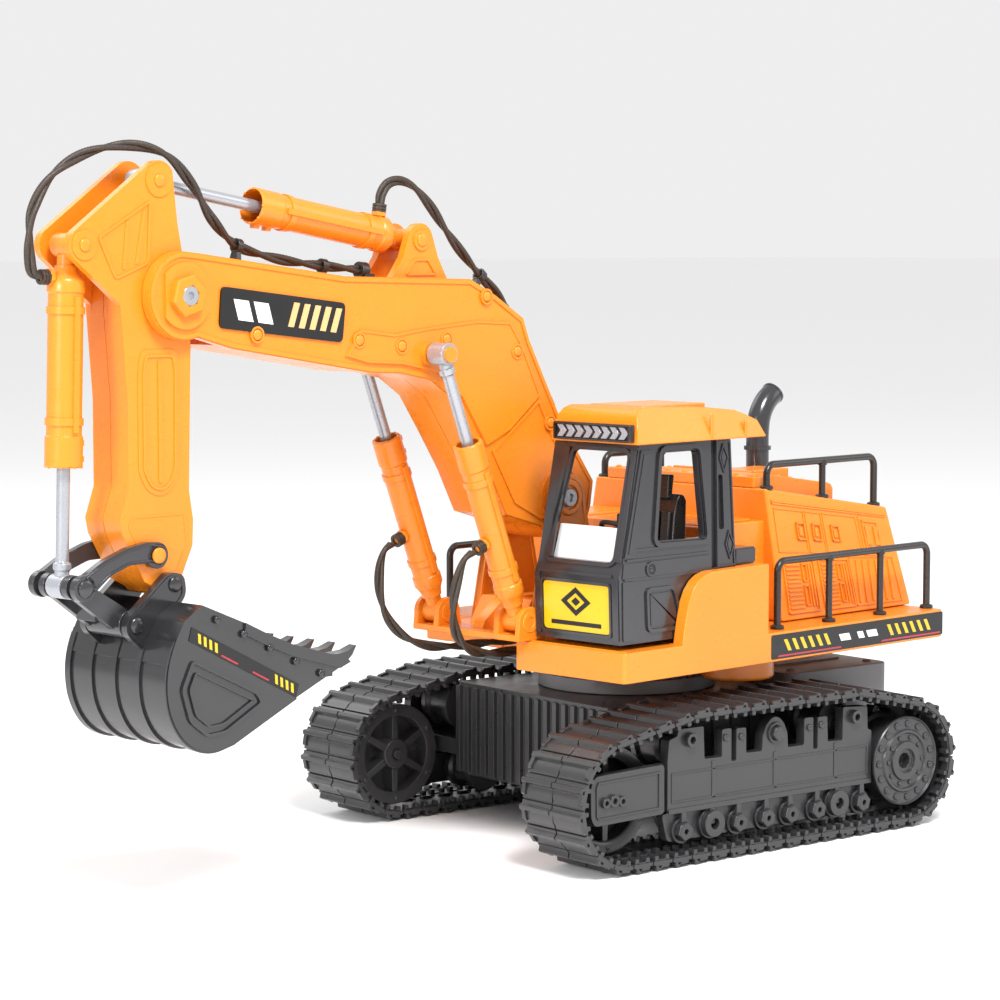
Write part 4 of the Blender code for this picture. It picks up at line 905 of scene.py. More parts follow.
def boom_bracket():
    """Base plate, two towers for the boom's foot pin and four prongs for the boom cylinders."""
    x, z = P0
    tower = [(30.0, 90.0), (73.0, 90.0)] + arc((x, z), 10.0, -8, 188, 20)
    prong = [(80.5, 91.0), (95.0, 91.0)] + arc(FOOT, 6.5, -10, 190, 14)
    shapes = [block((14.0, -31.0, 89.3), (92.0, 17.5, 92.0)), block((79.0, -36.7, 89.3), (95.0, 26.7, 91.8))]
    for side in ("left", "right"):
        span = half_span(side)
        shapes.append(plate(tower, *span(15.9, 19.0)))
        shapes.append(rim(tower, 2.0, *span(15.4, 19.5)))
        shapes.append(plate([(16.0, 91.5), (29.5, 91.5), (33.5, 108.0)], *span(15.9, 19.0)))
        shapes.append(turned([(5.2, 0), (7.8, 0), (7.8, 1.0), (7.2, 1.6), (5.2, 1.6)],
                             *outward(side, x, z, 18.6), 32))
    shapes.append(plate([(26.0, 91.0), (88.0, 91.0), (86.0, 95.0), (74.0, 104.0), (34.0, 104.0)], -8.0, -2.0))
    shapes.append(block((30.0, -20.4, 91.0), (33.0, 10.4, 106.0)))
    shapes.append(plate([(62.0, 91.5), (78.0, 91.5), (70.0, 103.5), (64.0, 103.5)], -20.0, 10.0))
    for span in ((11.5, 14.4), (24.2, 26.7)):
        for side in (span, mirrored(span)):
            shapes.append(plate(prong, *side))
            shapes.append(ring(FOOT, 2.2, 4.4, side[0] - 0.4, side[1] + 0.4, 28))
    for side in ((11.8, 26.4), mirrored((11.8, 26.4))):
        shapes.append(disc(FOOT, 2.0, *side, steps=24))
    piece("boom_mount", shapes, ORANGE, "house", HOUSE, ("boom_bracket",), edge=0.35)
    pin = [(0, -25.6), (3.6, -25.6), (4.0, -25.0), (4.0, 15.0), (3.6, 15.6), (1.8, 15.6), (1.4, 14.6),
           (0, 14.6)]
    piece("boom_pin", [turned(pin, (x, 0, z), (x, 1, z), 32)], SILVER, "house", HOUSE, ("boom_pivot_pin",),
          edge=0)


HOOD_SIDE = ((-33.7, 61.2, 89.3), (-125.2, 61.2, 89.3), (-116.0, 53.5, 134.0), (-33.7, 50.5, 147.0))


def on_side(u, v, lift, sign):
    """A point on the hood's sloping side: u from its front to its rear, v from its foot to its top."""
    a, b, c, d = (Vector(p) for p in HOOD_SIDE)
    point = a.lerp(b, u).lerp(d.lerp(c, u), v)
    normal = (b - a).cross(d - a).normalized()
    if normal.y < 0:
        normal.negate()
    point = point + normal * lift
    return Vector((point.x, point.y * sign, point.z))


def side_slab(corners, low, high, sign):
    """A thin slab on the hood's side, between two lifts, from (u, v) corners."""
    return skin([[on_side(u, v, lift, sign) for u, v in corners] for lift in (low, high)])


def side_bar(u0, v0, u1, v1, low, high, sign):
    """A slab on the hood's side with its edges along u and v."""
    return side_slab([(u0, v0), (u1, v0), (u1, v1), (u0, v1)], low, high, sign)


def side_frame(u0, v0, u1, v1, width, low, high, sign):
    """Four narrow slabs round a rectangle on the hood's side."""
    tall = width * 1.6
    return [side_bar(*bar_at, low, high, sign) for bar_at in (
        (u0, v0, u1, v0 + tall), (u0, v1 - tall, u1, v1), (u0, v0, u0 + width, v1), (u1 - width, v0, u1, v1))]


def hood_details(sign):
    """Frames, latches, louvres and ribs on one sloping side of the hood."""
    shapes = side_frame(0.03, 0.885, 0.955, 0.915, 0.008, -0.2, 0.55, sign)
    for u0, u1 in ((0.04, 0.275), (0.285, 0.415), (0.425, 0.70)):
        shapes += side_frame(u0, 0.52, u1, 0.86, 0.006, -0.2, 0.45, sign)
    shapes.append(side_slab([(0.715, 0.50), (0.88, 0.50), (0.885, 0.87), (0.72, 0.87)], -0.2, 0.5, sign))
    shapes += side_frame(0.735, 0.54, 0.865, 0.83, 0.010, 0.3, 1.1, sign)
    for u in (0.765, 0.835):
        shapes.append(side_slab([(u - 0.02, 0.60), (u + 0.02, 0.60), (u + 0.012, 0.70), (u + 0.02, 0.78),
                                 (u - 0.012, 0.78)], 0.3, 1.2, sign))
    for u in (0.20, 0.325, 0.475):
        shapes += side_frame(u, 0.62, u + 0.065, 0.76, 0.007, 0.2, 1.0, sign)
        shapes.append(side_bar(u + 0.018, 0.655, u + 0.047, 0.725, 0.2, 0.7, sign))
    for u in (0.05, 0.325):
        shapes += side_frame(u, 0.05, u + 0.24, 0.47, 0.008, -0.2, 0.8, sign)
        for i in range(11):
            v = 0.085 + i * 0.033
            shapes.append(side_bar(u + 0.02, v, u + 0.125, v + 0.015, -0.2, 0.75, sign))
        for v0, v1 in ((0.10, 0.26), (0.29, 0.43)):
            shapes += side_frame(u + 0.138, v0, u + 0.175, v1, 0.006, 0.0, 1.0, sign)
        for du in (0.19, 0.212):
            shapes.append(side_bar(u + du, 0.09, u + du + 0.01, 0.43, -0.2, 0.8, sign))
    for i in range(6):
        u = 0.60 + i * 0.052
        shapes.append(side_slab([(u, 0.08), (u + 0.014, 0.08), (u + 0.040, 0.46), (u + 0.026, 0.46)],
                                -0.2, 0.7, sign))
    return shapes + side_frame(0.575, 0.05, 0.935, 0.49, 0.006, -0.2, 0.5, sign)


def hood():
    points = []
    for y in (-1, 1):
        points += [(-33.7, y * 61.2, 89.3), (-125.2, y * 61.2, 89.3), (-33.7, y * 50.5, 147.0),
                   (-116.0, y * 53.5, 134.0)]
    room = []
    for y in (-1, 1):
        room += [(-36.2, y * 58.8, 88.0), (-122.8, y * 58.8, 88.0), (-36.2, y * 48.2, 144.4),
                 (-113.8, y * 51.2, 131.4)]
    piece("hood_shell", [hull(points)], ORANGE, "house", HOUSE, ("hood",), edge=1.6,
          cuts=[hull(room), bar((-98, -8, 120), (-98, -8, 160), 7.0, 32)])
    step = block((-36.0, -50.0, 89.3), (9.0, 50.0, 133.0))
    pads = [block((-30.0, y, 132.4), (6.0, y + 26.0, 134.0)) for y in (20.0, -46.0)]
    piece("hood_step", [step, *pads], ORANGE, "house", edge=0.9,
          cuts=[block((-38.0, -47.6, 88.0), (6.6, 47.6, 130.6))])
    for side, sign in (("left", 1), ("right", -1)):
        piece(f"{side}_hood_mouldings", hood_details(sign), ORANGE, "house", edge=0.12)
    rear = []
    for i in range(9):
        z = 97.0 + i * 3.6
        rear.append(block((-125.6 + (z - 89.3) * 0.2, -38.0, z), (-124.0 + (z - 89.3) * 0.2, 38.0, z + 1.6)))
    piece("hood_rear_louvres", rear, ORANGE, "house", edge=0.3)


def top(x):
    """The height of the hood's sloping top at an X."""
    return 147.0 + (x + 33.7) * 13.0 / 82.3


def hood_top():
    """The raised cover on the hood, with its screws, lid and slats."""
    band = rounded([(-33.9, -44.0), (-42.5, -44.0), (-42.5, 44.0), (-33.9, 44.0)], 2.0, 4)
    shapes = [plate(band, top(-34.0) - 0.2, top(-34.0) + 4.6, axis="Z")]
    side = [(-42.0, top(-42) - 0.3), (-104.0, top(-104) - 0.3), (-104.0, top(-104) + 6.0),
            (-102.6, top(-104) + 8.2), (-100.0, top(-104) + 9.0), (-50.0, top(-50) + 7.5),
            (-47.6, top(-47) + 6.2), (-47.0, top(-47) + 4.0), (-47.0, top(-47) + 2.0),
            (-42.0, top(-42) + 2.0)]
    shapes.append(plate(side, -32.0, 32.0))
    for i in range(9):
        y = -40.0 + i * 10.0
        shapes.append(dome(*above(-38.2, y, top(-38) + 5.0), 1.3, 1.2, 16))
    for i in range(7):
        x = -52.0 - i * 8.2
        for y in (-29.0, 29.0):
            shapes.append(dome(*above(x, y, top(x) + 7.7 + (x + 50) * 0.012), 1.2, 1.1, 16))
    shapes.append(plate([(-54, 5.0), (-82, 5.0), (-82, 24.0), (-54, 24.0)], top(-80) + 7.4, top(-54) + 8.3,
                        axis="Z"))
    for i in range(6):
        x = -57.0 - i * 4.2
        shapes.append(block((x - 1.4, -24.0, top(x) + 7.2), (x, -4.0, top(x) + 8.8)))
    piece("hood_top", shapes, ORANGE, "house", HOUSE, ("hood_top_cover",), edge=0.5)


def exhaust():
    route = smooth_route([(-98, -8, 126), (-98, -8, 140), (-98, -8, 154), (-98, -8, 166), (-99.5, -8, 174),
                          (-103.5, -8, 180), (-109, -8, 184)], 6)
    pipe = sweep(route, 5.3, 36, caps=False)
    lining = sweep(route[12:], 4.5, 36, caps=False)
    bmesh.ops.reverse_faces(lining, faces=lining.faces)
    along = (route[-1] - route[-2]).normalized()
    lip = turned([(4.5, -0.8), (5.5, -0.8), (5.5, 0.2), (4.5, 0.2)], route[-1], route[-1] + along, 36)
    collars = [turned([(5.2, z), (6.3, z), (6.3, z + 1.8), (5.2, z + 1.8)], (-98, -8, 0), (-98, -8, 1), 36)
               for z in (146.0, 158.0)]
    piece("exhaust_stack", [pipe, lining, lip, *collars], GUNMETAL, "house", HOUSE, ("exhaust_pipe",), edge=0)


def rail(name, feet, y, foot_z, top_z, node):
    """A round guard rail bent down at both ends, with posts between and a flange at each foot."""
    radius = 1.6
    bend = 4.5
    turns = [math.radians(10 * k) for k in range(10)]
    corner = [(bend * (1 - math.cos(t)), top_z - bend * (1 - math.sin(t))) for t in turns]
    route = [(feet[0], y, foot_z[0])]
    route += [(feet[0] - dx, y, z) for dx, z in corner]
    route += [(feet[-1] + dx, y, z) for dx, z in reversed(corner)]
    route += [(feet[-1], y, foot_z[-1])]
    shapes = [sweep(route, radius, 20)]
    for x, z in zip(feet[1:-1], foot_z[1:-1]):
        shapes.append(bar((x, y, z), (x, y, top_z - 0.4), radius * 0.94, 20))
        shapes.append(turned([(0, 0), (2.1, 0), (2.1, 2.4), (0, 2.4)], *above(x, y, top_z - 2.0), 20))
    for x, z in zip(feet, foot_z):
        shapes.append(turned([(0, 0), (3.0, 0), (3.0, 1.0), (2.6, 1.5), (1.9, 1.7), (0, 1.7)],
                             *above(x, y, z), 24))
    piece(name, shapes, BLACK, "house", HOUSE, (node,), edge=0)


def rails():
    rail("left_lower_guard", (-16.0, -51.0, -87.0, -121.0), 72.7, [89.1] * 4, 118.0, "left_lower_rail")
    rail("right_lower_guard", (38.0, -2.0, -42.0, -82.0, -121.0), -72.7, [89.1] * 5, 118.0,
         "right_lower_rail")
    feet = (-37.5, -76.0, -113.0)
    heights = [top(x) for x in feet]
    rail("left_upper_guard", feet, 48.2, heights, 157.0, "left_upper_rail")
    rail("right_upper_guard", feet, -48.2, heights, 157.0, "right_upper_rail")


# ---------------------------------------------------------------- cab

CAB_OUTLINE = [(13.2, 91.3), (84.5, 91.3), (85.5, 119.0), (83.2, 124.0), (73.6, 172.0), (17.0, 172.0)]


def front_x(z):
    """X of the cab's front face at a height."""
    if z <= 119.0:
        return 84.5 + (z - 91.3) / 27.7
    if z <= 124.0:
        return 85.5 - 2.3 * (z - 119.0) / 5.0
    return 83.2 - 9.6 * (z - 124.0) / 48.0


def front_slab(corners, low, high):
    """A slab on the cab's front face from (y, z) corners."""
    return skin([[(front_x(z) + lift, y, z) for y, z in corners] for lift in (low, high)])


def front_rim(corners, width, low, high):
    """A border on the cab's front face that follows (y, z) corners."""
    return skin([[(front_x(z) + lift, y, z) for y, z in loop]
                 for loop, lift in border(corners, width, low, high)], ring=True)


CAB_Y = (27.0, 74.0)


def cab():
    """The cab's moulded shell with its window openings, beads and panels."""
    low_y, high_y = CAB_Y
    inner = [(x, z + 8 if z > 160 else z) for x, z in inset(CAB_OUTLINE, 2.4)]
    room = plate(inner, low_y + 2.4, high_y - 2.4)
    screen = rounded([(31.5, 124.5), (69.0, 124.5), (69.4, 169.0), (39.0, 169.0)], 3.0)
    front = plate(screen, 66.0, 95.0, axis="X")
    rear = plate(rounded([(34.0, 128.0), (66.0, 128.0), (66.0, 167.0), (34.0, 167.0)], 3.0), 5.0, 30.0,
                 axis="X")
    window = rounded([(60.3, 169.4), (37.4, 169.4), (32.1, 131.0), (63.6, 131.6)], 3.0)
    left = plate(window, high_y - 6, high_y + 6)
    right = plate(rounded([(69.0, 168.0), (22.0, 168.0), (20.0, 124.0), (76.0, 124.0)], 3.0), low_y - 6,
                  low_y + 6)
    slot = plate(rounded([(21.9, 157.5), (25.3, 157.5), (24.0, 134.5), (20.6, 134.5)], 1.4),
                 high_y - 6, high_y + 6)
    seam = plate([(26.6, 174.0), (29.4, 174.0), (28.4, 118.8), (25.6, 118.8)], high_y - 1.4, high_y + 6)
    shell = plate(CAB_OUTLINE, low_y, high_y)
    trims = [rim(window, -1.9, high_y - 0.4, high_y + 1.1)]
    trims.append(rim(window, 0.8, high_y - 3.2, high_y - 0.5))
    trims.append(front_rim(screen, -1.7, -0.6, 0.9))
    outer = high_y
    for z, tall, foot_x, head_x in ((129.0, 1.0, 81.4, 81.2), (125.2, 0.8, 81.4, 81.2),
                                    (117.4, 0.8, 82.6, 82.6)):
        trims.append(plate([(30.6, z), (foot_x, z), (head_x, z + tall), (30.6, z + tall)],
                           outer - 0.3, outer + 0.7))
    trims.append(plate([(30.4, 118.2), (83.6, 118.2), (82.8, 124.4), (30.4, 124.4)],
                       outer - 0.3, outer + 0.4))
    panel = rounded([(46.0, 95.0), (68.6, 95.0), (69.6, 113.6), (52.0, 113.6)], 3.2)
    trims.append(rim(panel, 1.5, outer - 0.3, outer + 0.9))
    trims.append(plate(inset(panel, 2.6), outer - 0.3, outer + 0.35))
    trims.append(plate(rounded([(76.0, 92.6), (83.0, 92.6), (83.4, 117.0), (76.0, 117.0)], 1.0),
                       outer - 0.3, outer + 0.5))
    pillar = [(66.4, 170.0), (72.6, 170.0), (82.4, 126.6), (76.4, 126.6)]
    trims.append(plate(pillar, outer - 0.3, outer + 0.6))
    trims.append(plate(inset(pillar, 1.6), outer + 0.4, outer + 0.95))
    for x, z in ((21.4, 164.5), (17.2, 128.0)):
        diamond = [(x, z - 6.4), (x + 3.0, z), (x + 0.8, z + 6.0), (x - 2.8, z)]
        trims.append(rim(diamond, 0.6, outer - 0.3, outer + 0.6))
        trims.append(plate(inset(diamond, 1.3), outer - 0.3, outer + 0.4))
    edge = [(13.6, 118.9), (25.2, 118.9), (26.4, 171.6), (17.4, 171.6)]
    trims.append(rim(edge, 0.8, outer - 0.3, outer + 0.5))
    for y0, y1, foot, head in ((27.4, 30.2, 4.5, 6.5), (70.6, 73.6, 0.0, 0.0)):
        trims.append(front_slab([(y0, 93.0), (y1, 93.0), (y1, 118.4), (y0, 118.4)], -0.3, 0.7))
        trims.append(front_slab([(y0 + foot, 125.0), (y1 + foot, 125.0), (y1 + head, 170.0),
                                 (y0 + head, 170.0)], -0.3, 0.9))
    bead = rounded([(30.4, 93.8), (70.2, 93.8), (70.2, 116.4), (30.4, 116.4)], 2.6)
    trims.append(front_rim(bead, 1.1, -0.3, 1.0))
    trims.append(front_slab([(30.0, 118.6), (70.4, 118.6), (70.4, 119.8), (30.0, 119.8)], -0.3, 0.7))
    trims.append(block((0.5, 52.0, 118.9), (15.8, 73.5, 125.8)))
    trims.append(block((0.2, 73.2, 119.6), (12.6, 73.9, 125.2)))
    piece("cab_shell", [shell, *trims], GUNMETAL, "house", HOUSE, ("cab",), edge=0.45,
          cuts=[room, front, rear, left, right, slot, seam])


def cab_details():
    """Dark seams, door handle, front sticker and the pale panel behind the windscreen's foot."""
    outer = CAB_Y[1]
    dark = [plate([(25.8, 172.0), (30.0, 172.0), (29.0, 119.0), (25.0, 119.0)], outer - 2.3, outer - 1.2),
            plate([(20.6, 160.0), (27.0, 160.0), (26.0, 132.0), (19.6, 132.0)], outer - 2.3, outer - 1.7)]
    dark.append(ring((66.6, 121.2), 1.1, 2.3, outer + 0.1, outer + 0.8, 28))
    piece("cab_dark_seams", dark, SOFT_BLACK, "house", edge=0)
    handle = [ring((66.6, 121.2), 2.2, 3.1, outer - 0.2, outer + 1.1, 28),
              dome(*beside(66.4, outer + 0.1, 121.0, 1), 1.3, 0.8, 16)]
    piece("cab_handle", handle, GUNMETAL, "house", edge=0.15)

    sticker = rounded([(31.8, 95.2), (68.8, 95.2), (68.8, 115.0), (31.8, 115.0)], 2.0)
    piece("cab_sticker", [front_slab(sticker, -0.2, 0.25)], STICKER_YELLOW, "house", edge=0)
    rhombus = [(50.0, 113.4), (41.6, 107.4), (50.0, 101.4), (58.4, 107.4)]
    mark = [front_rim(rhombus, 2.0, 0.15, 0.36), front_slab(inset(rhombus, 3.4), 0.15, 0.36),
            front_slab([(64.0, 97.4), (36.0, 97.4), (36.0, 99.2), (64.0, 99.2)], 0.15, 0.36)]
    piece("cab_sticker_marks", mark, STICKER_BLACK, "house", edge=0)

    ledge = [front_slab([(32.0, 122.6), (68.0, 122.6), (68.6, 138.0), (33.4, 138.0)], -4.4, -3.4)]
    piece("cab_dash_panel", ledge, WHITE, "house", edge=0.2)


ROOF_Y = (29.0, 77.8)


def cab_roof():
    """The roof, with sides that lean in towards its top, a raised panel and two folds."""
    outline = [(78.3, 172.4), (77.9, 176.0), (76.8, 183.0), (74.6, 186.0), (71.3, 187.2), (40.0, 186.4),
               (32.0, 185.9), (15.4, 184.2), (10.0, 182.4), (3.5, 179.6), (-2.2, 172.4)]
    base = [(74.0, 171.0), (74.0, 182.0), (17.0, 180.0), (6.0, 171.0)]
    low_y, high_y = ROOF_Y
    shell = plate(outline, low_y, high_y)
    across = [edge for edge in shell.edges if edge.verts[0].co.y != edge.verts[1].co.y]
    bmesh.ops.subdivide_edges(shell, edges=across, cuts=5)
    for vert in shell.verts:
        inward = {low_y: 1, high_y: -1}.get(round(vert.co.y, 3), 0)
        if vert.co.z > 179.0:
            vert.co.y += inward * (vert.co.z - 179.0) / 2.0
    bmesh.ops.recalc_face_normals(shell, faces=shell.faces)
    shapes = [shell]
    shapes.append(slab((26.0, 38.0, 185.0), (66.0, 69.0, 187.4), 3.0))
    for x in (33.0, 11.5):
        shapes.append(block((x - 0.7, 77.0, 173.2), (x + 0.7, 78.2, 183.5 if x > 20 else 179.8)))
    piece("cab_roof_shell", shapes, ORANGE, "house", HOUSE, ("cab_roof",), edge=0.9,
          cuts=[plate(base, 31.5, 75.0)])


def lamp_bar():
    """The black bar over the windscreen, with a row of silver chevrons."""
    back = block((78.4, 33.5, 173.4), (80.4, 75.8, 180.6))
    outline = rounded([(33.5, 173.4), (75.8, 173.4), (75.8, 180.6), (33.5, 180.6)], 0.8)
    piece("lamp_bar", [back, rim(outline, 0.9, 80.0, 81.7, "X")], BLACK, "house", HOUSE, ("light_bar",),
          edge=0.2)
    chevrons = []
    for i in range(8):
        y = 35.2 + i * 4.9
        chevrons.append(plate([(y, 174.5), (y + 3.2, 174.5), (y + 5.2, 177.0), (y + 3.2, 179.5), (y, 179.5),
                               (y + 2.0, 177.0)], 80.2, 81.3, axis="X"))
    piece("lamp_lenses", chevrons, SILVER, "house", edge=0.15)


def cab_inside():
    seat = [(30.0, 94.0), (56.0, 94.0), (57.0, 104.0), (56.0, 110.0), (54.0, 113.0), (50.0, 114.0),
            (40.0, 112.6), (38.0, 120.0), (36.0, 140.0), (34.6, 146.0), (32.4, 149.0), (30.0, 148.6),
            (28.4, 146.0)]
    shapes = [plate(seat, 42.0, 60.0)]
    for y in (44.5, 50.5, 56.5):
        shapes.append(plate([(40.6, 112.0), (54.0, 113.4), (54.0, 115.0), (42.0, 114.6)], y - 2.4, y + 2.4))
        shapes.append(plate([(38.6, 117.0), (36.6, 142.0), (38.0, 142.0), (40.4, 118.0)], y - 2.4, y + 2.4))
    shapes.append(plate([(33.0, 147.0), (36.0, 147.0), (35.2, 157.0), (31.6, 157.0)], 46.0, 56.0))
    piece("driver_seat", shapes, BLACK, "house", HOUSE, ("cab_interior",), edge=0.8)
    shapes = [block((57.0, 34.0, 94.1), (80.0, 66.0, 112.0)),
              plate([(60.0, 111.0), (78.0, 111.0), (76.0, 124.0), (66.0, 126.0)], 38.0, 62.0)]
    shapes.append(bar((67.0, 50.0, 122.0), (60.0, 50.0, 134.0), 1.5, 16))
    hub = (59.5, 50.0, 135.0)
    toward = (54.0, 50.0, 145.0)
    shapes.append(turned([(7.0, -0.9), (8.6, -0.9), (8.6, 0.9), (7.0, 0.9)], hub, toward, 36))
    shapes.append(turned([(0, -0.7), (2.4, -0.7), (2.4, 0.9), (0, 0.9)], hub, toward, 20))
    for turn in (0, 120, 240):
        spin = math.radians(turn + 90)
        tip = (hub[0], hub[1] + 7.6 * math.cos(spin), hub[2] + 7.0 * math.sin(spin))
        shapes.append(bar(hub, tip, 0.8, 10))
    for y in (40.0, 62.0):
        shapes.append(bar((58.0, y, 111.0), (61.0, y, 130.0), 1.2, 14))
        knob = [(0, -2.4), (1.6, -2.0), (2.3, 0), (1.6, 2.0), (0, 2.4)]
        shapes.append(turned(knob, (61.2, y, 131.5), (61.6, y, 140.0), 18))
    piece("cab_console", shapes, SOFT_BLACK, "house", edge=0.5)


# ---------------------------------------------------------------- arm

# Pins of the arm as (X, Z): P0 house and boom, FOOT and BOOM_ROD the boom cylinders' ends, P1 boom and stick,
# P1_REAR and P2 the stick cylinder's ends, P3 the bucket cylinder's rear end, P4 stick and bucket,
# P5 stick and rocker, P6 rocker, link and bucket rod, P7 link and bucket.
P0 = (52.0, 146.0)
FOOT = (88.0, 97.0)
BOOM_ROD = (131.4, 209.0)
P1 = (257.0, 234.0)
P1_REAR = (129.0, 254.8)
P2 = (265.0, 277.0)
P3 = (300.0, 253.0)
P4 = (262.0, 125.5)
P5 = (270.0, 137.0)
P6 = (304.0, 127.0)
P7 = (280.5, 111.5)
BOOM_HALF = 15.3
STICK_HALF = 10.7
PIN_HOLE = 2.35


def half_span(side):
    """Turns a span of Y on the left of the arm's centre plane into the same span on one side of it."""
    def span(low, high):
        low, high = ARM_Y + low, ARM_Y + high
        return (low, high) if side == "left" else mirrored((low, high))
    return span


def outward(side, x, z, distance):
    """A point on one side of the arm's centre plane and another one further out."""
    sign = 1 if side == "left" else -1
    return (x, ARM_Y + sign * distance, z), (x, ARM_Y + sign * (distance + 50), z)


def boom_outline():
    outline = [(251.0, 250.0), (175.7, 240.6), (106.7, 238.9), (92.0, 232.0), (75.7, 222.3), (72.0, 213.0),
               (52.9, 178.8), (33.0, 152.0)]
    outline += arc(P0, 18.0, 195, 320, 18)
    outline += [(86.4, 140.4), (96.0, 158.4), (106.9, 174.8), (118.0, 190.6), (129.6, 198.2),
                (146.0, 201.4), (162.6, 202.2), (233.9, 213.5)]
    return outline + arc(P1, 16.8, -110, 85, 24)


def boom():
    """Two half shells with their mouldings and stickers, and the stick's pin."""
    outline = boom_outline()
    inner = inset([(226.0, 246.9), *outline[1:-26], (229.0, 212.8)], 2.4)
    for side in ("left", "right"):
        span = half_span(side)
        shell = plate(outline, *span(0.15, BOOM_HALF))
        cuts = [plate(inner, *span(-1.0, BOOM_HALF - 2.4)), disc(P1, 26.0, *span(-2.0, STICK_HALF + 0.4)),
                disc(P1, 4.2, *span(-2.0, 35.0)), disc(P0, 4.2, *span(-2.0, 35.0))]
        face = BOOM_HALF
        shapes = [rim(inset(outline, 0.5), 1.6, *span(face - 0.3, face + 0.55))]
        lower = [(176.0, 209.0), (168.0, 219.6), (150.0, 217.4), (132.0, 219.6), (104.0, 222.0),
                 (84.0, 221.0), (76.6, 211.0), (66.0, 190.0), (84.0, 176.0), (98.0, 170.0),
                 (112.0, 190.4), (126.0, 201.2), (146.0, 205.0), (164.0, 206.0)]
        shapes.append(plate(lower, *span(face - 0.3, face + 0.7)))
        shapes.append(rim(inset(lower, 0.3), 0.8, *span(face + 0.5, face + 1.1)))
        skirt = [(66.0, 190.0), (56.0, 172.0), (40.0, 152.0), (46.0, 136.6), (66.0, 136.6), (82.0, 144.6),
                 (96.0, 168.0)]
        shapes.append(rim(inset(skirt, 1.0), 1.4, *span(face - 0.3, face + 0.7)))
        for x, z in ((169.0, 215.3), (146.0, 212.4), (121.0, 214.6), (80.0, 208.6), (222.0, 218.6),
                     (98.0, 231.6), (60.0, 178.0)):
            shapes.append(dome(*outward(side, x, z, face + 0.8), 2.1, 1.0))
            shapes.append(rim(arc((x, z), 3.3, 0, 345, 23), 0.8, *span(face + 0.3, face + 1.2)))
        shapes.append(ring(P0, 4.2, 9.6, *span(face - 0.3, face + 1.3)))
        shapes.append(rim(arc(P0, 13.4, 0, 350, 35), 1.1, *span(face - 0.3, face + 0.6)))
        ear = [(113.0, 237.0), (147.0, 237.0), (138.6, 248.0)] + arc(P1_REAR, 6.8, 20, 160, 14)
        ear += [(119.4, 248.0)]
        shapes.append(plate(ear, *span(6.0, 9.4)))
        recess = rounded([(120.0, 240.6), (138.0, 240.6), (133.0, 247.4), (125.0, 247.4)], 1.4)
        shapes.append(rim(recess, 0.9, *span(9.2, 10.1)))
        shapes.append(ring(P1_REAR, 0.0, 4.2, *span(5.8, 10.2), steps=32))
        shapes.append(dome(*outward(side, *P1_REAR, 10.2), 2.6, 0.9))
        shapes.append(disc(P1_REAR, 2.0, *span(0.15, 8.0), steps=20))
        shapes.append(disc(BOOM_ROD, 4.6, *span(13.7, 18.7), steps=32))
        shapes.append(disc(BOOM_ROD, 2.0, *span(14.3, 28.6), steps=20))
        shapes.append(disc(BOOM_ROD, 3.2, *span(28.6, 29.6), steps=28))
        shapes.append(plate(arc(P1, 12.6, 40, 320, 30), *span(face - 0.3, face + 1.2)))
        shapes.append(turned([(4.2, 0), (8.2, 0), (8.2, 2.6), (7.5, 3.3), (4.2, 3.3)],
                             *outward(side, *P1, face + 0.9), 6))
        for x in (188.0, 204.0):
            shapes.append(plate([(x, 240.6), (x + 6, 241.4), (x + 6, 243.6), (x, 242.9)], *span(0.4, 8.0)))
        piece(f"boom_{side}_half", [shell, *shapes], ORANGE, "boom", HOUSE, (f"boom_{side}_shell",), edge=0.4,
              cuts=cuts)
        boom_sticker(side, span)
    pin = [(0, -24.5), (3.5, -24.5), (4.0, -24.0), (4.0, 14.0), (3.5, 14.5), (1.6, 14.5), (1.3, 13.6),
           (0, 13.6)]
    x, z = P1
    piece("stick_pin", [turned(pin, (x, 0, z), (x, 1, z), 32)], SILVER, "boom", HOUSE, ("stick_pivot_pin",),
          edge=0)


MARKS = (BOOM_HALF + 0.85, BOOM_HALF + 1.1)


def boom_sticker(side, span):
    """The dark sticker on one side of the boom, with five slashes and two pale blocks."""
    quad = [(239.5, 237.4), (176.3, 230.1), (178.0, 214.6), (240.7, 221.6)]
    piece(f"{side}_boom_sticker", [plate(rounded(quad, 2.4), *span(BOOM_HALF - 0.1, BOOM_HALF + 0.95))],
          STICKER_BLACK, "boom", edge=0)
    marks = []
    for i in range(5):
        x = 181.6 + i * 5.5
        z = 218.6 + (x - 181.6) * 0.116
        marks.append(plate([(x, z), (x + 2.9, z + 0.3), (x - 0.4, z + 9.6), (x - 3.3, z + 9.3)],
                           *span(*MARKS)))
    piece(f"{side}_boom_sticker_marks", marks, STICKER_GOLD, "boom", edge=0)
    pale = []
    for x in (214.0, 224.0):
        z = 222.4 + (x - 214.0) * 0.116
        pale.append(plate([(x, z), (x + 7.4, z + 0.9), (x + 9.8, z + 9.0), (x + 2.4, z + 8.1)],
                          *span(*MARKS)))
    piece(f"{side}_boom_sticker_blocks", pale, STICKER_PALE, "boom", edge=0)


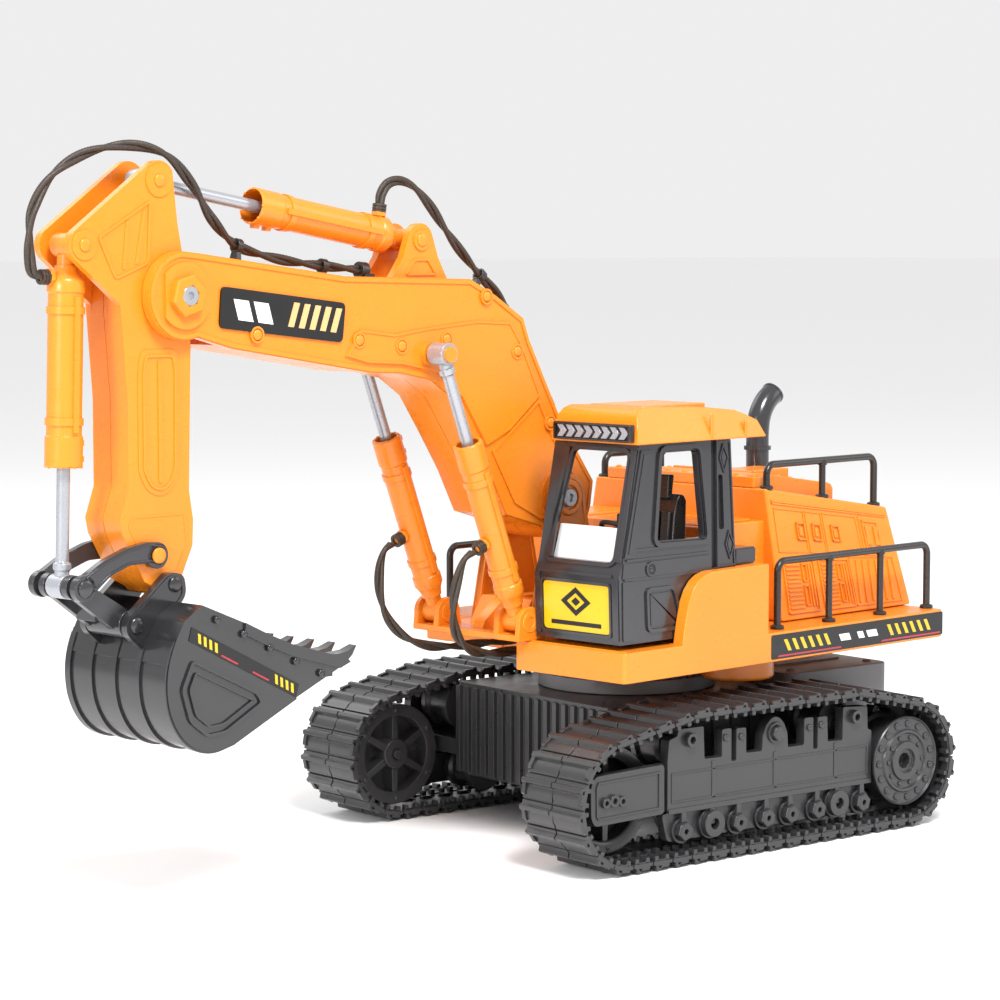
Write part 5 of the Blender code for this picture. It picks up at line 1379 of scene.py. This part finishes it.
def hose_clips():
    """Collars that hold the arm hoses, and the sockets that their far ends go into."""
    clips = []
    for x, dy, z, turn in ((219.0, 1.0, 252.6, 10.0), (174.0, 0.0, 244.6, 6.0), (86.0, 0.0, 240.0, 40.0),
                           (60.0, 0.0, 209.6, 60.0)):
        along = Vector((math.cos(math.radians(turn)), 0, math.sin(math.radians(turn))))
        here = Vector((x, ARM_Y + dy, z))
        clips.append(turned([(1.9, -1.4), (2.9, -1.4), (2.9, 1.4), (1.9, 1.4)], here, here + along, 28))
        foot = here - Vector((-along.z, 0, along.x)) * 5.5
        clips.append(hull([point + along * a + Vector((0, b, 0))
                           for point, half in ((here.lerp(foot, 0.4), 1.6), (foot, 2.4))
                           for a in (-1.2, 1.2) for b in (-half, half)]))
    clips.append(turned([(1.6, -1.0), (3.4, -1.0), (3.4, 3.0), (1.6, 3.0)], (154.0, ARM_Y, 242.8),
                        (150.0, ARM_Y, 242.5), 28))
    clips.append(block((149.0, ARM_Y - 3.6, 238.0), (154.0, ARM_Y + 3.6, 241.4)))
    end = Vector((45.5, ARM_Y, 184.0))
    ahead = Vector((-0.5, 0, -0.87))
    cup = [(1.6, -3.0), (3.4, -3.0), (3.4, 1.2), (0, 1.2), (0, 0.4), (1.6, 0.4)]
    clips.append(turned(cup, end, end + ahead, 28))
    web = ((0.6, -1.5), (1.8, 2.5), (9.5, -3.5), (10.0, 0.0))
    clips.append(hull([end + Vector((a, b, c)) for a, c in web for b in (-2.4, 2.4)]))
    piece("boom_hose_clips", clips, BLACK, "boom", edge=0.25)


def stick():
    """Two half shells that are open between the fork at the top."""
    outline = arc(P2, 7.5, 150, 55, 14)
    outline += arc(P3, 6.8, 50, -50, 14)
    outline += [(283.5, 231.0), (280.6, 195.6), (280.6, 162.5), (284.8, 150.8), (283.6, 145.0),
                (273.5, 127.0)]
    outline += arc(P4, 4.8, -30, -150, 14)
    outline += [(250.3, 139.3), (249.9, 149.0), (251.8, 160.3), (250.4, 215.0), (253.4, 246.5),
                (256.4, 262.0)]
    fork = [(240.0, 300.0), (240.0, 263.5), (267.0, 262.0), (283.2, 236.0), (283.2, 226.0),
            (320.0, 226.0), (320.0, 300.0)]
    room = [(277.8, 231.0), (277.8, 163.0), (281.4, 150.8), (280.0, 145.6), (272.0, 133.0), (258.0, 133.0),
            (253.4, 141.0), (252.6, 149.0), (254.4, 160.3), (253.2, 215.0), (256.4, 246.5), (259.0, 259.0),
            (264.6, 259.0)]
    face = STICK_HALF
    for side in ("left", "right"):
        span = half_span(side)
        shell = plate(outline, *span(0.15, face))
        cuts = [plate(fork, *span(-1.0, 7.4)), plate(room, *span(-1.0, face - 2.2)),
                disc(P1, 4.35, *span(-1.0, 35.0)), disc(P4, PIN_HOLE, *span(-1.0, 35.0))]
        shapes = [ring(P1, 4.35, 5.8, *span(0.15, 9.0), steps=36)]
        panel = [(257.6, 214.0), (274.4, 214.0), (276.0, 206.0), (276.0, 168.0), (272.0, 161.0),
                 (266.0, 158.6), (260.0, 161.0), (256.4, 168.0), (256.0, 206.0)]
        shapes.append(plate(rounded(panel, 2.6), *span(face - 0.3, face + 0.4)))
        shapes.append(rim(rounded(inset(panel, 2.0), 2.0), 0.9, *span(face + 0.2, face + 0.9)))
        shapes.append(plate([(265.2, 210.0), (266.8, 210.0), (266.8, 164.0), (265.2, 164.0)],
                            *span(face + 0.2, face + 0.9)))
        lower = [(254.0, 152.0), (279.0, 152.0), (281.4, 148.6), (272.0, 130.6), (258.0, 129.0),
                 (252.8, 140.0)]
        shapes.append(rim(rounded(lower, 1.5), 0.9, *span(face - 0.3, face + 0.2)))
        for centre, radius, height in ((P2, 6.2, 0.5), (P3, 5.6, 0.5), (P5, 4.2, 0.15)):
            shapes.append(disc(centre, radius, *span(face - 0.3, face + height), steps=32))
        for centre in (P2, P3):
            shapes.append(disc(centre, 2.0, *span(0.15, 9.0), steps=20))
            shapes.append(dome(*outward(side, *centre, face + 0.5), 2.4, 0.9))
        shapes.append(disc(P5, 2.0, *span(8.0, 15.2), steps=20))
        shapes.append(dome(*outward(side, *P5, 15.0), 3.0, 1.0))
        web = [(269.0, 270.0), (294.0, 256.0), (286.0, 240.0), (270.0, 246.0)]
        shapes.append(rim(rounded(web, 2.0), 1.0, *span(face - 0.3, face + 0.45)))
        for x0, z0, x1, z1 in ((272.0, 266.0, 276.0, 246.0), (280.0, 262.0, 282.0, 244.0)):
            shapes.append(plate([(x0 - 0.7, z0), (x0 + 0.7, z0), (x1 + 0.7, z1), (x1 - 0.7, z1)],
                                *span(face - 0.3, face + 0.4)))
        piece(f"stick_{side}_half", [shell, *shapes], ORANGE, "stick", HOUSE, (f"stick_{side}_shell",),
              edge=0.4, cuts=cuts)


BUCKET_Y = (ARM_Y - 31.0, ARM_Y + 31.0)


def bucket():
    """The hollow bucket with ribs on its back, cheek plates, ears and five teeth."""
    back = [(262.5, 119.0), (270.7, 114.0), (275.0, 106.8), (278.4, 97.9), (279.4, 88.8), (277.8, 79.2),
            (273.0, 70.6), (266.0, 65.2), (257.3, 63.3), (247.5, 65.2), (215.8, 79.4), (190.0, 90.2)]
    curved = smooth_route([(x, z, 0.0) for x, z in back[1:10]], 4)
    smooth = [back[0]] + [(point.x, point.y) for point in curved] + back[10:]
    mouth = [(190.8, 92.4), (204.0, 96.0), (219.0, 100.4), (231.0, 105.4), (242.0, 110.6)]
    outline = smooth + mouth
    inner = inset(smooth, 2.2)[1:-1] + [(192.0, 91.6), (186.0, 92.4), (186.0, 122.0), (258.0, 128.0),
                                        (262.0, 116.4)]
    low, high = BUCKET_Y
    shell = plate(outline, low, high)
    shapes = []
    for span in ((high - 0.3, high + 1.0), (low - 1.0, low + 0.3)):
        lip = mouth[::-1] + [(188.6, 90.6), (194.0, 88.6)] + [(x + 0.6, z - 4.4) for x, z in mouth[1:]]
        shapes.append(plate(lip, *span))
        outer = high if span[1] > high else low
        sign = 1 if outer == high else -1
        for x, z in ((256.0, 113.0), (243.0, 106.4), (230.0, 100.0), (217.0, 93.5), (204.0, 87.6)):
            shapes.append(dome(*beside(x, outer + sign * 0.9, z, sign), 1.5, 0.9, 16))
        panel = [(268.0, 99.0), (236.0, 83.6), (233.5, 79.0), (252.0, 69.6), (261.0, 69.0), (269.6, 75.6),
                 (273.4, 88.0)]
        shapes.append(rim(rounded(panel, 2.0), 1.1, *span))
        shapes.append(rim(rounded(inset(panel, 3.4), 1.6), 0.7, span[0] + 0.1, span[1] - 0.1))
    for y in (low + 1.6, low + 15.2, low + 29.6, low + 44.0, high - 2.6):
        strip = smooth[5:36]
        proud = inset(strip, -0.9)
        shapes.append(plate(strip[1:-1] + proud[1:-1][::-1], y - 1.1, y + 2.1))
    step = [(274.6, 105.6), (278.0, 97.2), (279.0, 98.0), (275.8, 106.6)]
    shapes.append(plate(step, low + 0.4, high - 0.4))
    ear = [(257.4, 129.0), (265.0, 130.4), (285.0, 114.0), (285.2, 108.4), (277.0, 101.0), (264.0, 113.0),
           (256.4, 121.0)]
    for side in ("left", "right"):
        span = half_span(side)
        shapes.append(plate(rounded(ear, 3.0), *span(11.1, 14.4)))
        shapes.append(rim(rounded(inset(ear, 1.0), 2.4), 1.0, *span(14.1, 14.8)))
        for x, z in (P4, P7):
            shapes.append(dome(*outward(side, x, z, 14.4), 3.0, 1.3, 28))
    shapes.append(disc(P4, 2.0, ARM_Y - 12, ARM_Y + 12, steps=20))
    shapes.append(disc(P7, 1.7, ARM_Y - 12, ARM_Y + 12, steps=20))
    for i in range(5):
        y = low + (i + 0.5) * (high - low) / 5
        tooth = [(198.0, 86.6), (189.0, 88.4), (183.2, 92.4), (180.8, 95.8), (181.4, 96.0), (186.0, 94.2),
                 (192.0, 93.6), (198.0, 94.0)]
        shape = plate(tooth, y - 4.0, y + 4.0)
        for vert in shape.verts:
            drawn = 0.45 + 0.55 * min(1.0, max(0.0, (vert.co.x - 181.0) / 14.0))
            vert.co.y = y + (vert.co.y - y) * drawn
        shapes.append(shape)
        shapes.append(block((196.0, y - 4.6, 85.4), (203.0, y + 4.6, 88.2)))
    piece("digging_bucket", [shell, *shapes], BUCKET_GREY, "bucket", HOUSE, ("bucket",), edge=0.35,
          cuts=[plate(inner, low + 2.0, high - 2.0)])


def bucket_stickers():
    """A dark strip on each cheek of the bucket, with yellow slashes and thin red lines."""
    black = []
    yellow = []
    red = []
    start, end = Vector((215.8, 80.8)), Vector((268.6, 107.6))
    along = (end - start).normalized()
    across = Vector((-along.y, along.x))
    length = (end - start).length

    def strip(u0, u1, v0, v1, slant, low_y, high_y):
        corners = [start + along * u0 + across * v0, start + along * u1 + across * v0,
                   start + along * (u1 + slant) + across * v1, start + along * (u0 + slant) + across * v1]
        return plate([tuple(c) for c in corners], low_y, high_y)

    for face, sign in zip(BUCKET_Y, (-1, 1)):
        def lift(a, b):
            return tuple(sorted((face + sign * a, face + sign * b)))
        black.append(strip(0.0, length, -1.6, 3.6, 1.0, *lift(-0.1, 0.28)))
        for first in (2.0, length - 15.0):
            for i in range(4):
                u = first + i * 3.0
                yellow.append(strip(u, u + 1.4, -0.6, 2.6, 1.8, *lift(0.2, 0.42)))
        for first in (16.0, length - 26.0):
            red.append(strip(first, first + 9.0, -1.0, -0.4, 0.0, *lift(0.2, 0.42)))
    piece("bucket_sticker", black, STICKER_BLACK, "bucket", edge=0)
    piece("bucket_sticker_yellow", yellow, STICKER_YELLOW, "bucket", edge=0)
    piece("bucket_sticker_red", red, STICKER_RED, "bucket", edge=0)


def linkage():
    """The rocker's two arms, and the link from them to the bucket."""
    arch = [(266.0, 141.0), (274.0, 142.4), (284.0, 140.8), (296.0, 136.5), (305.0, 131.4), (300.0, 124.8),
            (292.0, 131.0), (283.0, 134.2), (274.0, 134.4), (268.0, 132.6)]
    shapes = []
    for side in ("left", "right"):
        span = half_span(side)
        shapes.append(plate(rounded(arch, 1.5, 2), *span(11.1, 14.4)))
        shapes.append(rim(rounded(inset(arch, 0.6), 1.2, 2), 0.8, *span(14.1, 14.8)))
        shapes.append(ring(P5, PIN_HOLE, 5.0, *span(11.1, 14.4), steps=36))
        shapes.append(disc(P6, 5.0, *span(11.1, 14.4), steps=36))
        shapes.append(dome(*outward(side, *P6, 14.4), 3.4, 1.2, 28))
    shapes.append(disc(P6, 2.0, ARM_Y - 14.0, ARM_Y + 14.0, steps=20))
    piece("rocker_arms", shapes, GUNMETAL, "rocker", HOUSE, ("rocker",), edge=0.3)

    arm = [(301.212, 129.788), (306.132, 124.212), (286.8, 110.0), (280.0, 117.0)]
    shapes = [ring(P7, 3.2, 5.2, ARM_Y - 10.4, ARM_Y + 10.4, steps=36)]
    for span in ((ARM_Y + 5.2, ARM_Y + 8.6), mirrored((ARM_Y + 5.2, ARM_Y + 8.6))):
        shapes.append(plate(arm, *span))
        shapes.append(ring(P6, PIN_HOLE, 4.6, *span, steps=36))
    shapes.append(block((289.4, ARM_Y - 5.6, 113.2), (293.4, ARM_Y + 5.6, 119.4)))
    piece("link_plates", shapes, GUNMETAL, "bucket_link", HOUSE, ("bucket_link",), edge=0.3)


# ---------------------------------------------------------------- cylinders

def ram(name, rear, front, y, gland, outer, bore, floor, rod_in, nipple_at, facing):
    """A cylinder with its rod. Distances run from the rear pin: to the gland at the barrel's mouth, to the
    bore's floor and to the hose nipple. The nipple and the lugs are on the side that facing tells.
    """
    start = Vector((rear[0], y, rear[1]))
    end = Vector((front[0], y, front[1]))
    along = (end - start).normalized()
    across = Vector((0, 1, 0))
    side = Vector((along.z, 0, -along.x)) * facing
    profile = [(0, 7.5), (4.2, 7.5), (4.6, 10), (outer - 0.6, 12.2), (outer, 13.2), (outer, 17.2),
               (outer - 0.5, 17.8), (outer - 0.5, gland - 12), (outer, gland - 11.4), (outer, gland - 0.5),
               (outer - 0.5, gland), (bore, gland), (bore, floor), (0, floor)]
    shapes = [turned(profile, start, end, 40), ring(rear, PIN_HOLE, 4.6, y - 4.3, y + 4.3, steps=36),
              bar(start + along * 3.4, start + along * 9.0, 3.5, 24)]
    for i in range(8):
        turn = 2 * math.pi * i / 8
        out = across * math.cos(turn) + along.cross(across) * math.sin(turn)
        root = start + along * (gland - 0.4) + out * ((outer + bore) / 2 - 0.1)
        shapes.append(dome(root, root + along * 10, 0.55, 0.7, 10))
    for sign in (-1, 1):
        rail_at = across * sign * (outer - 0.9)
        half = along.cross(across) * 1.1
        corners = []
        for s in (19.0, gland - 13.0):
            for shift in (-half, half):
                for lift in (Vector((0, 0, 0)), across * sign * 1.5):
                    corners.append(start + along * s + rail_at + shift + lift)
        shapes.append(hull(corners))
    for s in (24.0, gland - 17.0):
        shapes.append(turned([(outer - 0.8, s - 1.4), (outer + 0.1, s - 1.4), (outer + 0.1, s + 1.4),
                              (outer - 0.8, s + 1.4)], start, end, 40))
    for s in (gland - 9.0, gland - 3.0):
        root = start + along * s
        lug = along.cross(across) * facing
        shapes.append(hull([root + lug * a + across * b + along * c for a in (outer - 1.0, outer + 1.2)
                            for b in (-1.6, 1.6) for c in (-1.1, 1.1)]))
    root = start + along * nipple_at + side * (outer - 1.2)
    shapes.append(bar(root, root + side * 5.2, 2.2, 24))
    shapes.append(turned([(2.0, 1.0), (3.3, 1.0), (3.3, 2.6), (2.0, 2.6)], root, root + side, 6))
    piece(f"{name}_barrel", shapes, ORANGE, f"{name}_cylinder", HOUSE, (f"{name}_cylinder",), edge=0.25)

    tip = end - along * 3.0
    tail = start + along * (gland - rod_in)
    length = (tip - tail).length
    shaft = [(0, 0), (2.5, 0), (2.5, length - 6.0), (3.4, length - 5.4), (3.4, length - 3.2),
             (2.8, length - 2.6), (2.8, length), (0, length)]
    shapes = [turned(shaft, tail, tip, 32), ring(front, PIN_HOLE, 4.6, y - 4.3, y + 4.3, steps=36)]
    piece(f"{name}_shaft", shapes, SILVER, f"{name}_rod", HOUSE, (f"{name}_rod",), edge=0.25)

    wrap = []
    top = root + side * 5.2
    for i in range(3):
        wrap.append(turned([(1.5, 0.0 + i * 1.3), (2.9, 0.1 + i * 1.3), (2.9, 1.2 + i * 1.3),
                            (1.5, 1.3 + i * 1.3)], top - side * 3.0, top, 24))
    piece(f"{name}_hose_binding", wrap, HOSE, f"{name}_cylinder", edge=0.2)


def rams():
    for side, sign in (("left", 1), ("right", -1)):
        ram(f"{side}_boom", FOOT, BOOM_ROD, ARM_Y + sign * 24.3, gland=81.0, outer=6.2, bore=4.7, floor=30.0,
            rod_in=27.0, nipple_at=38.0, facing=1)
    ram("stick", P1_REAR, P2, ARM_Y, gland=83.0, outer=7.3, bore=6.6, floor=30.0, rod_in=18.0,
        nipple_at=16.0, facing=-1)
    ram("bucket", P3, P6, ARM_Y, gland=82.0, outer=7.1, bore=6.4, floor=34.0, rod_in=18.0,
        nipple_at=12.0, facing=-1)


# ---------------------------------------------------------------- the whole toy

def main():
    camera_and_studio()
    hoses()
    for side, sign in (("left", 1), ("right", -1)):
        track_belt(side, sign)
        track_frame(side, sign)
        wheels(side, sign)
    for build in (chassis, casings, slew_ring, deck, deck_stickers, inner_parts, boom_bracket, hood, hood_top,
                  exhaust, rails, cab, cab_details, cab_roof, lamp_bar, cab_inside, boom, hose_clips, stick,
                  bucket, bucket_stickers, linkage, rams):
        build()


main()
